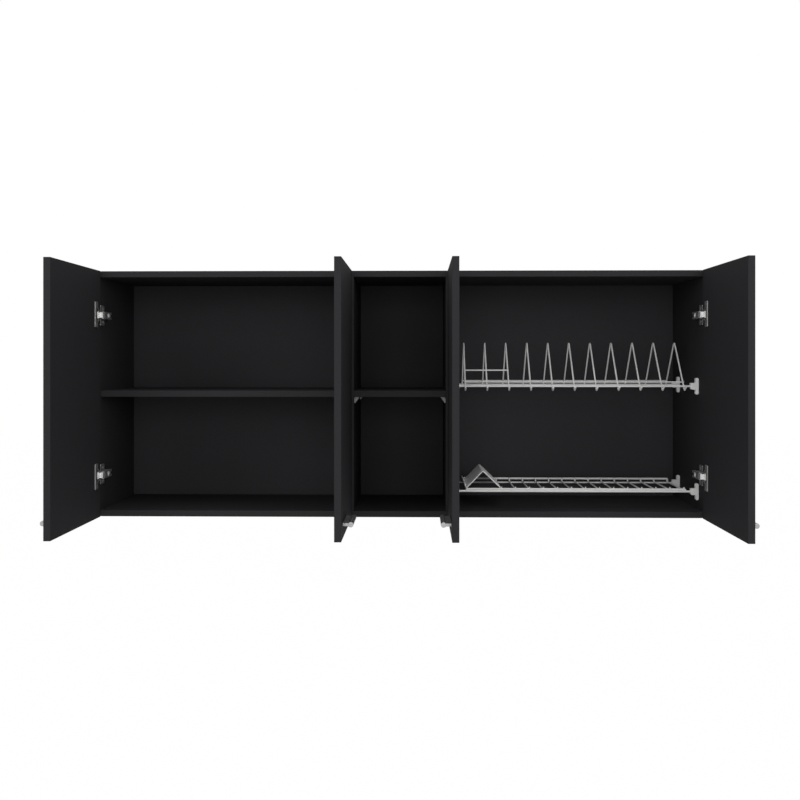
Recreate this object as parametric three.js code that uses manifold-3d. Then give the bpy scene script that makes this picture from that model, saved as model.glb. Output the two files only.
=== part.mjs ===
// Kitchen wall cabinet: two cupboards with paired doors, an open middle section and a dish rack
// Millimetres, +Z up, front faces -Y, the rear face of the hanging rail lies in the plane Y = 0
// The four doors stand open at a right angle on concealed cup hinges

import * as THREE from 'three';
import { mergeVertices } from 'three/addons/utils/BufferGeometryUtils.js';
import Module from 'manifold-3d';

const wasm = await Module();
wasm.setup();

// Whole cabinet
const WIDTH = 1500;
const HEIGHT = 600;
const DEPTH = 300;
const BOARD = 15;
const MIDDLE_WIDTH = 224;
const FIT = 0.3;
const OVERRUN = 4;

// Back panel, its grooves and the two rails behind it
const BACK_THICKNESS = 3;
const GROOVE_DEPTH = 5;
const RAIL_THICKNESS = 15;
const UPPER_RAIL_HEIGHT = 80;
const LOWER_RAIL_HEIGHT = 60;

// Keyhole plates let into the rear of the upper rail
const HANGER_WIDTH = 60;
const HANGER_HEIGHT = 40;
const HANGER_THICKNESS = 2;
const HANGER_CORNER = 5;
const HANGER_INSET = 120;
const KEYHOLE_RADIUS = 6;
const KEYHOLE_SLOT_RADIUS = 3;
const KEYHOLE_RISE = 12;
const HEAD_ROOM_DEPTH = 9;
const HEAD_ROOM_MARGIN = 5;

// Shelves
const SHELF_HEIGHT = 292.5;
const SHELF_SETBACK = 1;

// Corner brackets under the middle shelf
const GUSSET_LENGTH = 12;
const GUSSET_HEIGHT = 15;
const GUSSET_DEPTH = 14;
const GUSSET_PLATE = 2;
const GUSSET_WEB = 2.4;
const GUSSET_FRONT_SETBACK = 18;
const GUSSET_REAR_SETBACK = 24;

// Doors
const DOOR_THICKNESS = 15;
const DOOR_REVEAL = 1.5;
const DOOR_MEETING_GAP = 3;
const DOOR_CLOSED_GAP = 2;
const DOOR_OPEN_OFFSET = 4.3;

// Concealed hinges: places on the door, the two pins and the cup
const HINGE_FROM_BOTTOM = 102;
const HINGE_FROM_TOP = 108;
const ARM_PIN_OFF = 10;
const ARM_PIN_OUT = 6;
const CUP_PIN_IN = 9;
const CUP_PIN_DEPTH = 3;
const PIN_RADIUS = 1.3;
const CUP_CENTRE_IN = 21.5;
const CUP_RADIUS = 17.5;
const CUP_DEPTH = 11;
const CUP_WALL = 0.9;
const CUP_FLOOR = 0.8;
const FLANGE_START = 24;
const FLANGE_WIDTH = 19;
const FLANGE_HEIGHT = 62;
const FLANGE_THICKNESS = 2.4;
const FLANGE_CORNER = 3;

// Hinge links
const LINK_WIDTH = 13;
const LINK_THICKNESS = 2;
const LINK_BULGE = 4;
const LINK_EYE_RADIUS = 2.3;

// Hinge arms with their wing plates
const ARM_WIDTH = 17;
const ARM_CHEEK = 1.7;
const ARM_WEB = 1.4;
const ARM_NOSE_RADIUS = 4;
const ARM_LENGTH = 48;
const ARM_WEB_OUT = 3;
const ARM_SLOT_RADIUS = 3.2;
const ARM_SLOT_LENGTH = 9;
const WING_THICKNESS = 2.2;
const WING_HEIGHT = 49;
const WING_START = 2;
const WING_LENGTH = 27;
const WING_CORNER = 4;
const PEDESTAL_START = 5;
const PEDESTAL_LENGTH = 38;
const PEDESTAL_OVERLAP = 0.6;

// Bar handles
const HANDLE_LENGTH = 102;
const HANDLE_RADIUS = 5.9;
const HANDLE_CHAMFER = 0.8;
const HANDLE_OFF = 17;
const HANDLE_HEIGHT = 30.5;
const HANDLE_EDGE_GAP = 39;
const POST_RADIUS = 3.25;
const POST_INSET = 5.5;

// Rack brackets on the walls of the right cupboard
const BRACKET_THICKNESS = 7.6;
const BRACKET_HEIGHT = 41;
const BRACKET_DEPTH = 10;
const BRACKET_CORNER = 3.7;
const SOCKET_LENGTH = 12;
const SOCKET_HEIGHT = 16;
const SOCKET_CORNER = 4;
const SOCKET_REACH = 10;
const SOCKET_FILLET = 1.2;

// Rails shared by both racks
const FRONT_RAIL_IN = 45;
const REAR_RAIL_IN = 215;

// Plate rack: a row of hoops behind two rails, with rises and drops from the rails' height
const PLATE_RAIL_HEIGHT = 318;
const PLATE_RAIL_RADIUS = 2.3;
const HOOP_END_IN = 34.5;
const HOOP_PITCH = 54;
const HOOP_RADIUS = 1.9;
const HOOP_APEX_IN = 137;
const HOOP_APEX_RISE = 112;
const HOOP_BEND = 7;
const HOOP_TOE_DROP = 10.5;
const HOOP_TOE_BEND = 3;
const HOOP_HOOK_REACH = 14;
const HOOP_HOOK_RISE = 8;
const HOOP_HEEL_DROP = 3;
const PLATE_WIRE_RISE = 10;
const SHORT_WIRE_RISE = 39;
const SHORT_WIRE_HOOPS = 3;
const PLATE_WIRE_RADIUS = 1.6;
const WELD_SINK = 0.6;

// Cup rack: cross wires with upturned tips between two pairs of rails, with rises from the lower rails
const CUP_RAIL_HEIGHT = 58.3;
const CUP_RAIL_RADIUS = 2.7;
const CUP_REAR_RAIL_RADIUS = 2;
const CUP_UPPER_FRONT_RISE = 5.1;
const CUP_UPPER_REAR_RISE = 10.4;
const CUP_UPPER_RADIUS = 2.6;
const CUP_UPPER_START_IN = 38;
const CUP_UPPER_END_IN = 32;
const CUP_UPPER_BEND = 3;
const CROSS_PITCH = 34.5;
const CROSS_FIRST_IN = 124.3;
const CROSS_LAST_IN = 33.8;
const CROSS_RADIUS = 1.8;
const CROSS_RISE = 2.8;
const CROSS_TIP_RISE = 10.2;
const CROSS_REAR_TIP_RISE = 13.2;
const CROSS_BEND = 4;

// Bent sheet ridge at the left end of the cup rack, with rises from the same rails
const RIDGE_THICKNESS = 2.2;
const RIDGE_LIP_IN = 33.2;
const RIDGE_LIP_RISE = 18;
const RIDGE_VALLEY_IN = 37.4;
const RIDGE_PEAK_IN = 78.5;
const RIDGE_PEAK_RISE = 49;
const RIDGE_END_SHORT = 1;
const RIDGE_CORNER = 4;

// Facets
const WIRE_SIDES = 6;
const ROUND_SIDES = 12;
const POST_SIDES = 8;
const PIN_SIDES = 6;
const EYE_SIDES = 8;
const CORNER_STEPS = 2;
const NOSE_STEPS = 3;
const KEYHOLE_STEPS = 5;
const BEND_STEPS = 4;
const WIRE_BEND_STEPS = 2;
const CUP_SIDES = 16;

// Colours and surfaces
const charcoalBoard = new THREE.MeshStandardMaterial({ color: 0x2a2a2d, roughness: 0.62, metalness: 0 });
const darkPlastic = new THREE.MeshStandardMaterial({ color: 0x6b6b70, roughness: 0.5, metalness: 0 });
const whitePlastic = new THREE.MeshStandardMaterial({ color: 0xe4e4e2, roughness: 0.45, metalness: 0 });
const whiteWire = new THREE.MeshStandardMaterial({ color: 0xe2e2e0, roughness: 0.4, metalness: 0.1 });
const nickel = new THREE.MeshStandardMaterial({ color: 0xc4c4c2, roughness: 0.28, metalness: 1 });
const satinSteel = new THREE.MeshStandardMaterial({ color: 0xa9a9a9, roughness: 0.36, metalness: 1 });
const zincSteel = new THREE.MeshStandardMaterial({ color: 0xb7b9bb, roughness: 0.4, metalness: 1 });

// Places that the sizes above give, in a frame with Z = 0 under the cabinet
const sideInner = WIDTH / 2 - BOARD;
const dividerInner = MIDDLE_WIDTH / 2;
const dividerOuter = dividerInner + BOARD;
const sectionWidth = sideInner - dividerOuter;
const frontPlane = -DEPTH;
const backFace = -(RAIL_THICKNESS + BACK_THICKNESS);
const ceiling = HEIGHT - BOARD;
const railCentre = ceiling - FIT - UPPER_RAIL_HEIGHT / 2;
const doorWidth = (sectionWidth + 2 * BOARD - 2 * DOOR_REVEAL - DOOR_MEETING_GAP) / 2;

// The upturned tips of the cross wires are welded against the inner side of the upper rails
const tipSetback = CUP_UPPER_RADIUS + CROSS_RADIUS - WELD_SINK;

// The hinge link keeps its length from the closed door to the open one
const closedCupPinOff = DOOR_REVEAL - BOARD + CUP_PIN_IN;
const closedCupPinOut = DOOR_CLOSED_GAP + CUP_PIN_DEPTH;
const linkLength = Math.hypot(ARM_PIN_OFF - closedCupPinOff, closedCupPinOut - ARM_PIN_OUT);
const openCupPinOff = DOOR_OPEN_OFFSET - CUP_PIN_DEPTH;
const openCupPinOut = ARM_PIN_OUT + Math.sqrt(linkLength ** 2 - (ARM_PIN_OFF - openCupPinOff) ** 2);
const hingeEdgeOut = openCupPinOut - CUP_PIN_IN;

const cabinet = new THREE.Group();
cabinet.position.z = -railCentre;

// Adds a named piece to a group
function addPiece(name, geometry, material, group = cabinet) {
  const piece = new THREE.Mesh(geometry, material);
  piece.name = name;
  group.add(piece);
  return piece;
}

// A box between two corners
function block(x0, x1, y0, y1, z0, z1) {
  const geometry = new THREE.BoxGeometry(x1 - x0, y1 - y0, z1 - z0);
  return geometry.translate((x0 + x1) / 2, (y0 + y1) / 2, (z0 + z1) / 2);
}

// A closed manifold solid from a geometry whose faces may still repeat their corners
function toSolid(geometry) {
  const bare = geometry.clone();
  bare.deleteAttribute('normal');
  bare.deleteAttribute('uv');
  const merged = mergeVertices(bare);
  const index = merged.index.array;
  const faces = [];
  for (let i = 0; i < index.length; i += 3) {
    const [a, b, c] = [index[i], index[i + 1], index[i + 2]];
    if (a !== b && b !== c && c !== a) faces.push(a, b, c);
  }
  return new wasm.Manifold(new wasm.Mesh({
    numProp: 3,
    vertProperties: new Float32Array(merged.attributes.position.array),
    triVerts: new Uint32Array(faces),
  }));
}

function toGeometry(solid) {
  const mesh = solid.getMesh();
  const geometry = new THREE.BufferGeometry();
  geometry.setAttribute('position', new THREE.BufferAttribute(mesh.vertProperties, mesh.numProp));
  geometry.setIndex(new THREE.BufferAttribute(mesh.triVerts, 1));
  const flat = geometry.toNonIndexed();
  flat.computeVertexNormals();
  return flat;
}

// One geometry from several that overlap, less the ones that cut it
function fuse(pieces, cuts = []) {
  let solid = toSolid(pieces[0]);
  for (const piece of pieces.slice(1)) solid = solid.add(toSolid(piece));
  for (const tool of cuts) solid = solid.subtract(toSolid(tool));
  return toGeometry(solid);
}

// A round bar between two points
function rod(from, to, radius, sides) {
  const start = new THREE.Vector3(...from);
  const run = new THREE.Vector3(...to).sub(start);
  const geometry = new THREE.CylinderGeometry(radius, radius, run.length(), sides);
  const turn = new THREE.Quaternion().setFromUnitVectors(new THREE.Vector3(0, 1, 0), run.clone().normalize());
  const middle = start.addScaledVector(run, 1 / 2);
  return geometry.applyQuaternion(turn).translate(middle.x, middle.y, middle.z);
}

// A wire that follows straight runs with rounded bends
class BentWire extends THREE.Curve {
  constructor(corners, bend, steps) {
    super();
    const points = corners.map((corner) => new THREE.Vector3(...corner));
    this.stations = [points[0]];
    for (let i = 1; i < points.length - 1; i += 1) {
      const back = points[i - 1].clone().sub(points[i]).normalize();
      const ahead = points[i + 1].clone().sub(points[i]).normalize();
      const reach = bend[i - 1] / Math.tan(back.angleTo(ahead) / 2);
      const arc = new THREE.QuadraticBezierCurve3(
        points[i].clone().addScaledVector(back, reach),
        points[i],
        points[i].clone().addScaledVector(ahead, reach),
      );
      this.stations.push(...arc.getPoints(steps));
    }
    this.stations.push(points[points.length - 1]);
    this.steps = this.stations.length - 1;
  }

  getPoint(share, target = new THREE.Vector3()) {
    const place = Math.min(share * this.steps, this.steps);
    const first = Math.min(Math.floor(place), this.steps - 1);
    return target.lerpVectors(this.stations[first], this.stations[first + 1], place - first);
  }

  getPointAt(share, target) {
    return this.getPoint(share, target);
  }

  getTangentAt(share, target = new THREE.Vector3()) {
    const nearest = Math.round(share * this.steps);
    const before = this.stations[Math.max(nearest - 1, 0)];
    const after = this.stations[Math.min(nearest + 1, this.steps)];
    return target.subVectors(after, before).normalize();
  }
}

function circle(radius, sides) {
  const outline = [];
  for (let i = 0; i < sides; i += 1) {
    const angle = (2 * Math.PI * i) / sides;
    outline.push(new THREE.Vector2(radius * Math.cos(angle), radius * Math.sin(angle)));
  }
  return new THREE.Shape(outline);
}

function wire(corners, radius, bend, sides, steps) {
  const path = new BentWire(corners, bend, steps);
  return new THREE.ExtrudeGeometry(circle(radius, sides), { steps: path.steps, extrudePath: path });
}

// A rectangle with rounded corners, about its own centre
function roundedRectangle(width, height, corner) {
  const x = width / 2;
  const y = height / 2;
  const shape = new THREE.Shape();
  shape.moveTo(-x + corner, -y);
  shape.lineTo(x - corner, -y);
  shape.absarc(x - corner, -y + corner, corner, -Math.PI / 2, 0, false);
  shape.lineTo(x, y - corner);
  shape.absarc(x - corner, y - corner, corner, 0, Math.PI / 2, false);
  shape.lineTo(-x + corner, y);
  shape.absarc(-x + corner, y - corner, corner, Math.PI / 2, Math.PI, false);
  shape.lineTo(-x, -y + corner);
  shape.absarc(-x + corner, -y + corner, corner, Math.PI, (3 * Math.PI) / 2, false);
  return shape;
}

function extrude(shape, depth, curveSegments = CORNER_STEPS) {
  return new THREE.ExtrudeGeometry(shape, { depth, curveSegments, bevelEnabled: false });
}

// Turns an extrusion so that its sheet lies in the YZ plane and its thickness runs along +X
function standAcross(geometry) {
  const basis = new THREE.Matrix4().makeBasis(
    new THREE.Vector3(0, 1, 0),
    new THREE.Vector3(0, 0, 1),
    new THREE.Vector3(1, 0, 0),
  );
  return geometry.applyMatrix4(basis);
}

// Turns an extrusion so that its sheet lies in the XZ plane and its thickness runs along -Y
function standUpright(geometry) {
  return geometry.rotateX(Math.PI / 2);
}

// The slot that holds the edge of the back panel
function backSlot(x0, x1, z0, z1) {
  return block(x0, x1, backFace - FIT, -RAIL_THICKNESS + FIT, z0, z1);
}

function buildCarcass() {
  for (const hand of [-1, 1]) {
    const name = hand < 0 ? 'left_side' : 'right_side';
    const [x0, x1] = hand < 0 ? [-WIDTH / 2, -sideInner] : [sideInner, WIDTH / 2];
    const slotEnd = hand * (sideInner + GROOVE_DEPTH);
    const slotMouth = hand * (sideInner - OVERRUN);
    const [slotLow, slotHigh] = [slotEnd, slotMouth].sort((a, b) => a - b);
    const slot = backSlot(slotLow, slotHigh, -OVERRUN, HEIGHT + OVERRUN);
    const board = block(x0, x1, frontPlane, 0, 0, HEIGHT);
    addPiece(name, fuse([board], [slot]), charcoalBoard);
  }
  const innerEnd = sideInner - FIT;
  const slotSpan = innerEnd + OVERRUN;
  const topSlot = backSlot(-slotSpan, slotSpan, ceiling - OVERRUN, ceiling + GROOVE_DEPTH);
  const top = block(-innerEnd, innerEnd, frontPlane, 0, ceiling, HEIGHT);
  addPiece('top_panel', fuse([top], [topSlot]), charcoalBoard);
  const bottomSlot = backSlot(-slotSpan, slotSpan, BOARD - GROOVE_DEPTH, BOARD + OVERRUN);
  const bottom = block(-innerEnd, innerEnd, frontPlane, 0, 0, BOARD);
  addPiece('bottom_panel', fuse([bottom], [bottomSlot]), charcoalBoard);

  const dividerRear = backFace - FIT;
  for (const hand of [-1, 1]) {
    const name = hand < 0 ? 'left_divider' : 'right_divider';
    const [x0, x1] = hand < 0 ? [-dividerOuter, -dividerInner] : [dividerInner, dividerOuter];
    addPiece(name, block(x0, x1, frontPlane, dividerRear, BOARD + FIT, ceiling - FIT), charcoalBoard);
  }

  const grooveEnd = GROOVE_DEPTH - FIT;
  const backHalf = sideInner + grooveEnd;
  const back = block(-backHalf, backHalf, backFace, -RAIL_THICKNESS, BOARD - grooveEnd, ceiling + grooveEnd);
  addPiece('back_panel', back, charcoalBoard);

  const railFront = -RAIL_THICKNESS + FIT;
  const lowerRail = block(-innerEnd, innerEnd, railFront, 0, BOARD + FIT, BOARD + LOWER_RAIL_HEIGHT);
  addPiece('lower_rail', lowerRail, charcoalBoard);
  buildUpperRail(innerEnd);
}

// The upper rail carries the cabinet, with a pocket behind each keyhole plate
function buildUpperRail(innerEnd) {
  const railHalf = UPPER_RAIL_HEIGHT / 2;
  const railFront = -RAIL_THICKNESS + FIT;
  const rail = block(-innerEnd, innerEnd, railFront, 0, railCentre - railHalf, railCentre + railHalf);
  const pockets = [];
  for (const hand of [-1, 1]) {
    const x = hand * (sideInner - HANGER_INSET);
    const plateHalf = HANGER_WIDTH / 2 + FIT;
    const plateRise = HANGER_HEIGHT / 2 + FIT;
    const roomHalf = KEYHOLE_RADIUS + HEAD_ROOM_MARGIN;
    const roomTop = railCentre + KEYHOLE_RISE + HEAD_ROOM_MARGIN;
    pockets.push(block(x - plateHalf, x + plateHalf, -HANGER_THICKNESS - FIT, OVERRUN,
      railCentre - plateRise, railCentre + plateRise));
    pockets.push(block(x - roomHalf, x + roomHalf, -HANGER_THICKNESS - HEAD_ROOM_DEPTH, OVERRUN,
      railCentre - roomHalf, roomTop));
    addPiece(hand < 0 ? 'left_hanger' : 'right_hanger', hangerPlate(x), zincSteel);
  }
  addPiece('upper_rail', fuse([rail], pockets), charcoalBoard);
}

// A steel plate whose round opening takes a screw head and whose slot takes its neck
function hangerPlate(x) {
  const plate = roundedRectangle(HANGER_WIDTH, HANGER_HEIGHT, HANGER_CORNER);
  const keyhole = new THREE.Path();
  const neck = Math.asin(KEYHOLE_SLOT_RADIUS / KEYHOLE_RADIUS);
  keyhole.absarc(0, 0, KEYHOLE_RADIUS, Math.PI / 2 + neck, Math.PI / 2 - neck + 2 * Math.PI, false);
  keyhole.absarc(0, KEYHOLE_RISE, KEYHOLE_SLOT_RADIUS, 0, Math.PI, false);
  keyhole.closePath();
  plate.holes.push(keyhole);
  const geometry = standUpright(extrude(plate, HANGER_THICKNESS, KEYHOLE_STEPS));
  return geometry.translate(x, 0, railCentre);
}

function buildShelves() {
  const front = frontPlane + SHELF_SETBACK;
  const rear = backFace - FIT;
  const shelfTop = SHELF_HEIGHT + BOARD;
  const left = block(-sideInner + FIT, -dividerOuter - FIT, front, rear, SHELF_HEIGHT, shelfTop);
  addPiece('left_shelf', left, charcoalBoard);
  const middle = block(-dividerInner + FIT, dividerInner - FIT, front, rear, SHELF_HEIGHT, shelfTop);
  addPiece('middle_shelf', middle, charcoalBoard);
  for (const hand of [-1, 1]) {
    const sideName = hand < 0 ? 'left' : 'right';
    const frontY = frontPlane + GUSSET_FRONT_SETBACK;
    const rearY = backFace - GUSSET_REAR_SETBACK - GUSSET_DEPTH;
    addPiece(`middle_shelf_bracket_${sideName}_front`, gusset(hand, frontY), darkPlastic);
    addPiece(`middle_shelf_bracket_${sideName}_rear`, gusset(hand, rearY), darkPlastic);
  }
}

// A corner bracket: a plate on the divider, a plate under the shelf and a web between them
function gusset(hand, y) {
  const wall = dividerInner - FIT;
  const roof = SHELF_HEIGHT - FIT;
  const inner = wall - GUSSET_LENGTH;
  const wallPlate = block(wall - GUSSET_PLATE, wall, y, y + GUSSET_DEPTH, roof - GUSSET_HEIGHT, roof);
  const roofPlate = block(inner, wall, y, y + GUSSET_DEPTH, roof - GUSSET_PLATE, roof);
  const web = new THREE.Shape();
  web.moveTo(wall, roof);
  web.lineTo(inner, roof);
  web.lineTo(inner, roof - GUSSET_PLATE);
  web.lineTo(wall - GUSSET_PLATE, roof - GUSSET_HEIGHT);
  web.lineTo(wall, roof - GUSSET_HEIGHT);
  const webSheet = standUpright(extrude(web, GUSSET_WEB));
  webSheet.translate(0, y + (GUSSET_DEPTH + GUSSET_WEB) / 2, 0);
  const solid = fuse([wallPlate, roofPlate, webSheet]);
  return hand < 0 ? solid.rotateZ(Math.PI).translate(0, 2 * y + GUSSET_DEPTH, 0) : solid;
}

// A door hung on the face at x, with its hinges and handle
function buildDoor(name, faceX, hand) {
  const hingeEdge = frontPlane - hingeEdgeOut;
  const inner = faceX + hand * DOOR_OPEN_OFFSET;
  const outer = inner - hand * DOOR_THICKNESS;
  const [low, high] = [inner, outer].sort((a, b) => a - b);
  const board = block(low, high, hingeEdge - doorWidth, hingeEdge, 0, HEIGHT);
  const heights = { lower: HINGE_FROM_BOTTOM, upper: HEIGHT - HINGE_FROM_TOP };
  const bores = Object.values(heights).map((z) => {
    const y = hingeEdge - CUP_CENTRE_IN;
    const floor = inner - hand * (CUP_DEPTH + FIT);
    return rod([floor, y, z], [inner + hand * OVERRUN, y, z], CUP_RADIUS + FIT, CUP_SIDES);
  });
  addPiece(`${name}_door`, fuse([board], bores), charcoalBoard);
  addPiece(`${name}_handle`, handle(outer, hingeEdge - doorWidth, hand), satinSteel);
  for (const [level, z] of Object.entries(heights)) {
    const hinge = new THREE.Group();
    hinge.position.set(faceX, frontPlane, z);
    hinge.rotation.y = hand < 0 ? Math.PI : 0;
    cabinet.add(hinge);
    addPiece(`${name}_${level}_hinge_cup`, hingeCup(), nickel, hinge);
    addPiece(`${name}_${level}_hinge_link`, hingeLink(), nickel, hinge);
    addPiece(`${name}_${level}_hinge_arm`, hingeArm(), nickel, hinge);
  }
}

// A round bar on two posts, along the lower edge of a door
function handle(outerX, freeEdge, hand) {
  const front = freeEdge + HANDLE_EDGE_GAP;
  const profile = [
    new THREE.Vector2(0, 0),
    new THREE.Vector2(HANDLE_RADIUS - HANDLE_CHAMFER, 0),
    new THREE.Vector2(HANDLE_RADIUS, HANDLE_CHAMFER),
    new THREE.Vector2(HANDLE_RADIUS, HANDLE_LENGTH - HANDLE_CHAMFER),
    new THREE.Vector2(HANDLE_RADIUS - HANDLE_CHAMFER, HANDLE_LENGTH),
    new THREE.Vector2(0, HANDLE_LENGTH),
  ];
  const centre = outerX - hand * HANDLE_OFF;
  const bar = new THREE.LatheGeometry(profile, ROUND_SIDES).translate(centre, front, HANDLE_HEIGHT);
  const posts = [front + POST_INSET, front + HANDLE_LENGTH - POST_INSET].map((y) => rod(
    [centre, y, HANDLE_HEIGHT],
    [outerX - hand * FIT, y, HANDLE_HEIGHT],
    POST_RADIUS,
    POST_SIDES,
  ));
  return fuse([bar, ...posts]);
}

// In a hinge's own frame X runs off the cabinet wall, -Y out of the front and Z up
// The cup is turned on a lathe, with a flange over the door face and a pin across its mouth
function hingeCup() {
  const rise = CUP_DEPTH + FIT + FLANGE_THICKNESS;
  const inside = CUP_RADIUS - CUP_WALL;
  const profile = [
    new THREE.Vector2(0, 0),
    new THREE.Vector2(CUP_RADIUS - CUP_WALL, 0),
    new THREE.Vector2(CUP_RADIUS, CUP_WALL),
    new THREE.Vector2(CUP_RADIUS, rise),
    new THREE.Vector2(inside, rise),
    new THREE.Vector2(inside, CUP_FLOOR),
    new THREE.Vector2(0, CUP_FLOOR),
  ];
  const y = -(hingeEdgeOut + CUP_CENTRE_IN);
  const bowl = new THREE.LatheGeometry(profile, CUP_SIDES).rotateZ(-Math.PI / 2);
  bowl.translate(DOOR_OPEN_OFFSET - CUP_DEPTH, y, 0);

  const flangeX = DOOR_OPEN_OFFSET + FIT;
  const flangeStart = -(hingeEdgeOut + FLANGE_START);
  const flangeShape = roundedRectangle(FLANGE_WIDTH, FLANGE_HEIGHT, FLANGE_CORNER);
  const flange = standAcross(extrude(flangeShape, FLANGE_THICKNESS));
  flange.translate(flangeX, flangeStart - FLANGE_WIDTH / 2, 0);

  const mouth = rod([flangeX - FIT, y, 0], [flangeX + OVERRUN, y, 0], inside, CUP_SIDES);
  const rimCut = block(DOOR_OPEN_OFFSET, flangeX + OVERRUN, flangeStart, flangeStart + CUP_RADIUS + OVERRUN,
    -CUP_RADIUS - OVERRUN, CUP_RADIUS + OVERRUN);
  const shell = fuse([bowl, flange], [mouth, rimCut]);

  const pinOffCentre = CUP_CENTRE_IN - CUP_PIN_IN;
  const pinHalf = Math.sqrt(inside ** 2 - (pinOffCentre + PIN_RADIUS / 2) ** 2);
  const pinEnds = [-pinHalf, pinHalf].map((z) => [openCupPinOff, -openCupPinOut, z]);
  return fuse([shell, rod(...pinEnds, PIN_RADIUS, PIN_SIDES)]);
}

// A curved link with an eye at each end, its bulge away from the mouth of the cup
function hingeLink() {
  const armPin = new THREE.Vector2(ARM_PIN_OFF, -ARM_PIN_OUT);
  const cupPin = new THREE.Vector2(openCupPinOff, -openCupPinOut);
  const arcRadius = (linkLength ** 2 / 4 + LINK_BULGE ** 2) / (2 * LINK_BULGE);
  const along = cupPin.clone().sub(armPin).normalize();
  const bulgeWay = new THREE.Vector2(-along.y, along.x);
  const centre = armPin.clone().add(cupPin).multiplyScalar(1 / 2);
  centre.addScaledVector(bulgeWay, LINK_BULGE - arcRadius);
  const start = Math.atan2(armPin.y - centre.y, armPin.x - centre.x);
  const end = Math.atan2(cupPin.y - centre.y, cupPin.x - centre.x);
  const strip = new THREE.Shape();
  strip.absarc(centre.x, centre.y, arcRadius + LINK_THICKNESS / 2, start, end, true);
  strip.absarc(centre.x, centre.y, arcRadius - LINK_THICKNESS / 2, end, start, false);
  const half = LINK_WIDTH / 2;
  const body = extrude(strip, LINK_WIDTH).translate(0, 0, -half);
  const ends = [armPin, cupPin];
  const eyes = ends.map((p) => rod([p.x, p.y, -half], [p.x, p.y, half], LINK_EYE_RADIUS, EYE_SIDES));
  const bores = ends.map((p) => rod(
    [p.x, p.y, -half - OVERRUN],
    [p.x, p.y, half + OVERRUN],
    PIN_RADIUS + FIT,
    PIN_SIDES,
  ));
  return fuse([body, ...eyes], bores);
}

// The arm is a folded channel on a pedestal, with the wing plate that screws to the cabinet wall
function hingeArm() {
  const low = ARM_PIN_OFF - ARM_NOSE_RADIUS;
  const high = ARM_PIN_OFF + ARM_NOSE_RADIUS;
  const half = ARM_WIDTH / 2;
  const outline = new THREE.Shape();
  outline.moveTo(low, ARM_LENGTH);
  outline.lineTo(low, -ARM_PIN_OUT);
  outline.absarc(ARM_PIN_OFF, -ARM_PIN_OUT, ARM_NOSE_RADIUS, Math.PI, 2 * Math.PI, false);
  outline.lineTo(high, ARM_LENGTH);
  const channel = extrude(outline, ARM_WIDTH, NOSE_STEPS).translate(0, 0, -half);
  const roomHalf = half - ARM_CHEEK;
  const pastNose = -ARM_PIN_OUT - ARM_NOSE_RADIUS - OVERRUN;
  const trough = block(low - OVERRUN, high - ARM_WEB, pastNose, ARM_LENGTH + OVERRUN, -roomHalf, roomHalf);
  const mouth = block(low, high + OVERRUN, pastNose, -ARM_WEB_OUT, -roomHalf, roomHalf);
  const slotMouth = ARM_LENGTH - ARM_SLOT_LENGTH;
  const slotRound = rod([high - ARM_WEB - OVERRUN, slotMouth, 0], [high + OVERRUN, slotMouth, 0],
    ARM_SLOT_RADIUS, POST_SIDES);
  const slotRun = block(high - ARM_WEB - OVERRUN, high + OVERRUN, slotMouth, ARM_LENGTH + OVERRUN,
    -ARM_SLOT_RADIUS, ARM_SLOT_RADIUS);
  const folded = fuse([channel], [trough, mouth, slotRound, slotRun]);

  const wingShape = roundedRectangle(WING_LENGTH, WING_HEIGHT, WING_CORNER);
  const wing = standAcross(extrude(wingShape, WING_THICKNESS));
  wing.translate(FIT, WING_START + WING_LENGTH / 2, 0);
  const pedestalEnd = PEDESTAL_START + PEDESTAL_LENGTH;
  const pedestal = block(FIT, low + PEDESTAL_OVERLAP, PEDESTAL_START, pedestalEnd, -half, half);
  const pinEnds = [-half, half].map((z) => [ARM_PIN_OFF, -ARM_PIN_OUT, z]);
  return fuse([folded, wing, pedestal, rod(...pinEnds, PIN_RADIUS, PIN_SIDES)]);
}

// A bracket with a rounded back and a socket for the end of a rail
function rackBracket(railIn, railHeight, railRadius, hand) {
  const railY = frontPlane + railIn;
  const wall = hand < 0 ? dividerOuter + FIT : sideInner - FIT;
  const reach = BRACKET_THICKNESS + SOCKET_LENGTH;
  const rise = BRACKET_HEIGHT / 2;
  const lobe = SOCKET_HEIGHT / 2;
  const outline = new THREE.Shape();
  outline.moveTo(0, -rise + BRACKET_CORNER);
  outline.absarc(-BRACKET_CORNER, -rise + BRACKET_CORNER, BRACKET_CORNER, 0, -Math.PI / 2, true);
  outline.absarc(-BRACKET_THICKNESS + BRACKET_CORNER, -rise + BRACKET_CORNER, BRACKET_CORNER,
    -Math.PI / 2, -Math.PI, true);
  outline.lineTo(-BRACKET_THICKNESS, -lobe);
  outline.absarc(-reach + SOCKET_CORNER, -lobe + SOCKET_CORNER, SOCKET_CORNER, -Math.PI / 2, -Math.PI, true);
  outline.absarc(-reach + SOCKET_FILLET, lobe - SOCKET_FILLET, SOCKET_FILLET, Math.PI, Math.PI / 2, true);
  outline.lineTo(-BRACKET_THICKNESS, lobe);
  outline.absarc(-BRACKET_THICKNESS + BRACKET_CORNER, rise - BRACKET_CORNER, BRACKET_CORNER,
    Math.PI, Math.PI / 2, true);
  outline.absarc(-BRACKET_CORNER, rise - BRACKET_CORNER, BRACKET_CORNER, Math.PI / 2, 0, true);
  const bodyShape = standUpright(extrude(outline, BRACKET_DEPTH));
  bodyShape.translate(0, BRACKET_DEPTH / 2, 0);
  const socketEnds = [-reach - OVERRUN, -reach + SOCKET_REACH].map((x) => [x, 0, 0]);
  const socket = rod(...socketEnds, railRadius + FIT, POST_SIDES);
  const solid = fuse([bodyShape], [socket]);
  if (hand < 0) solid.rotateZ(Math.PI);
  return solid.translate(wall, railY, railHeight);
}

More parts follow.
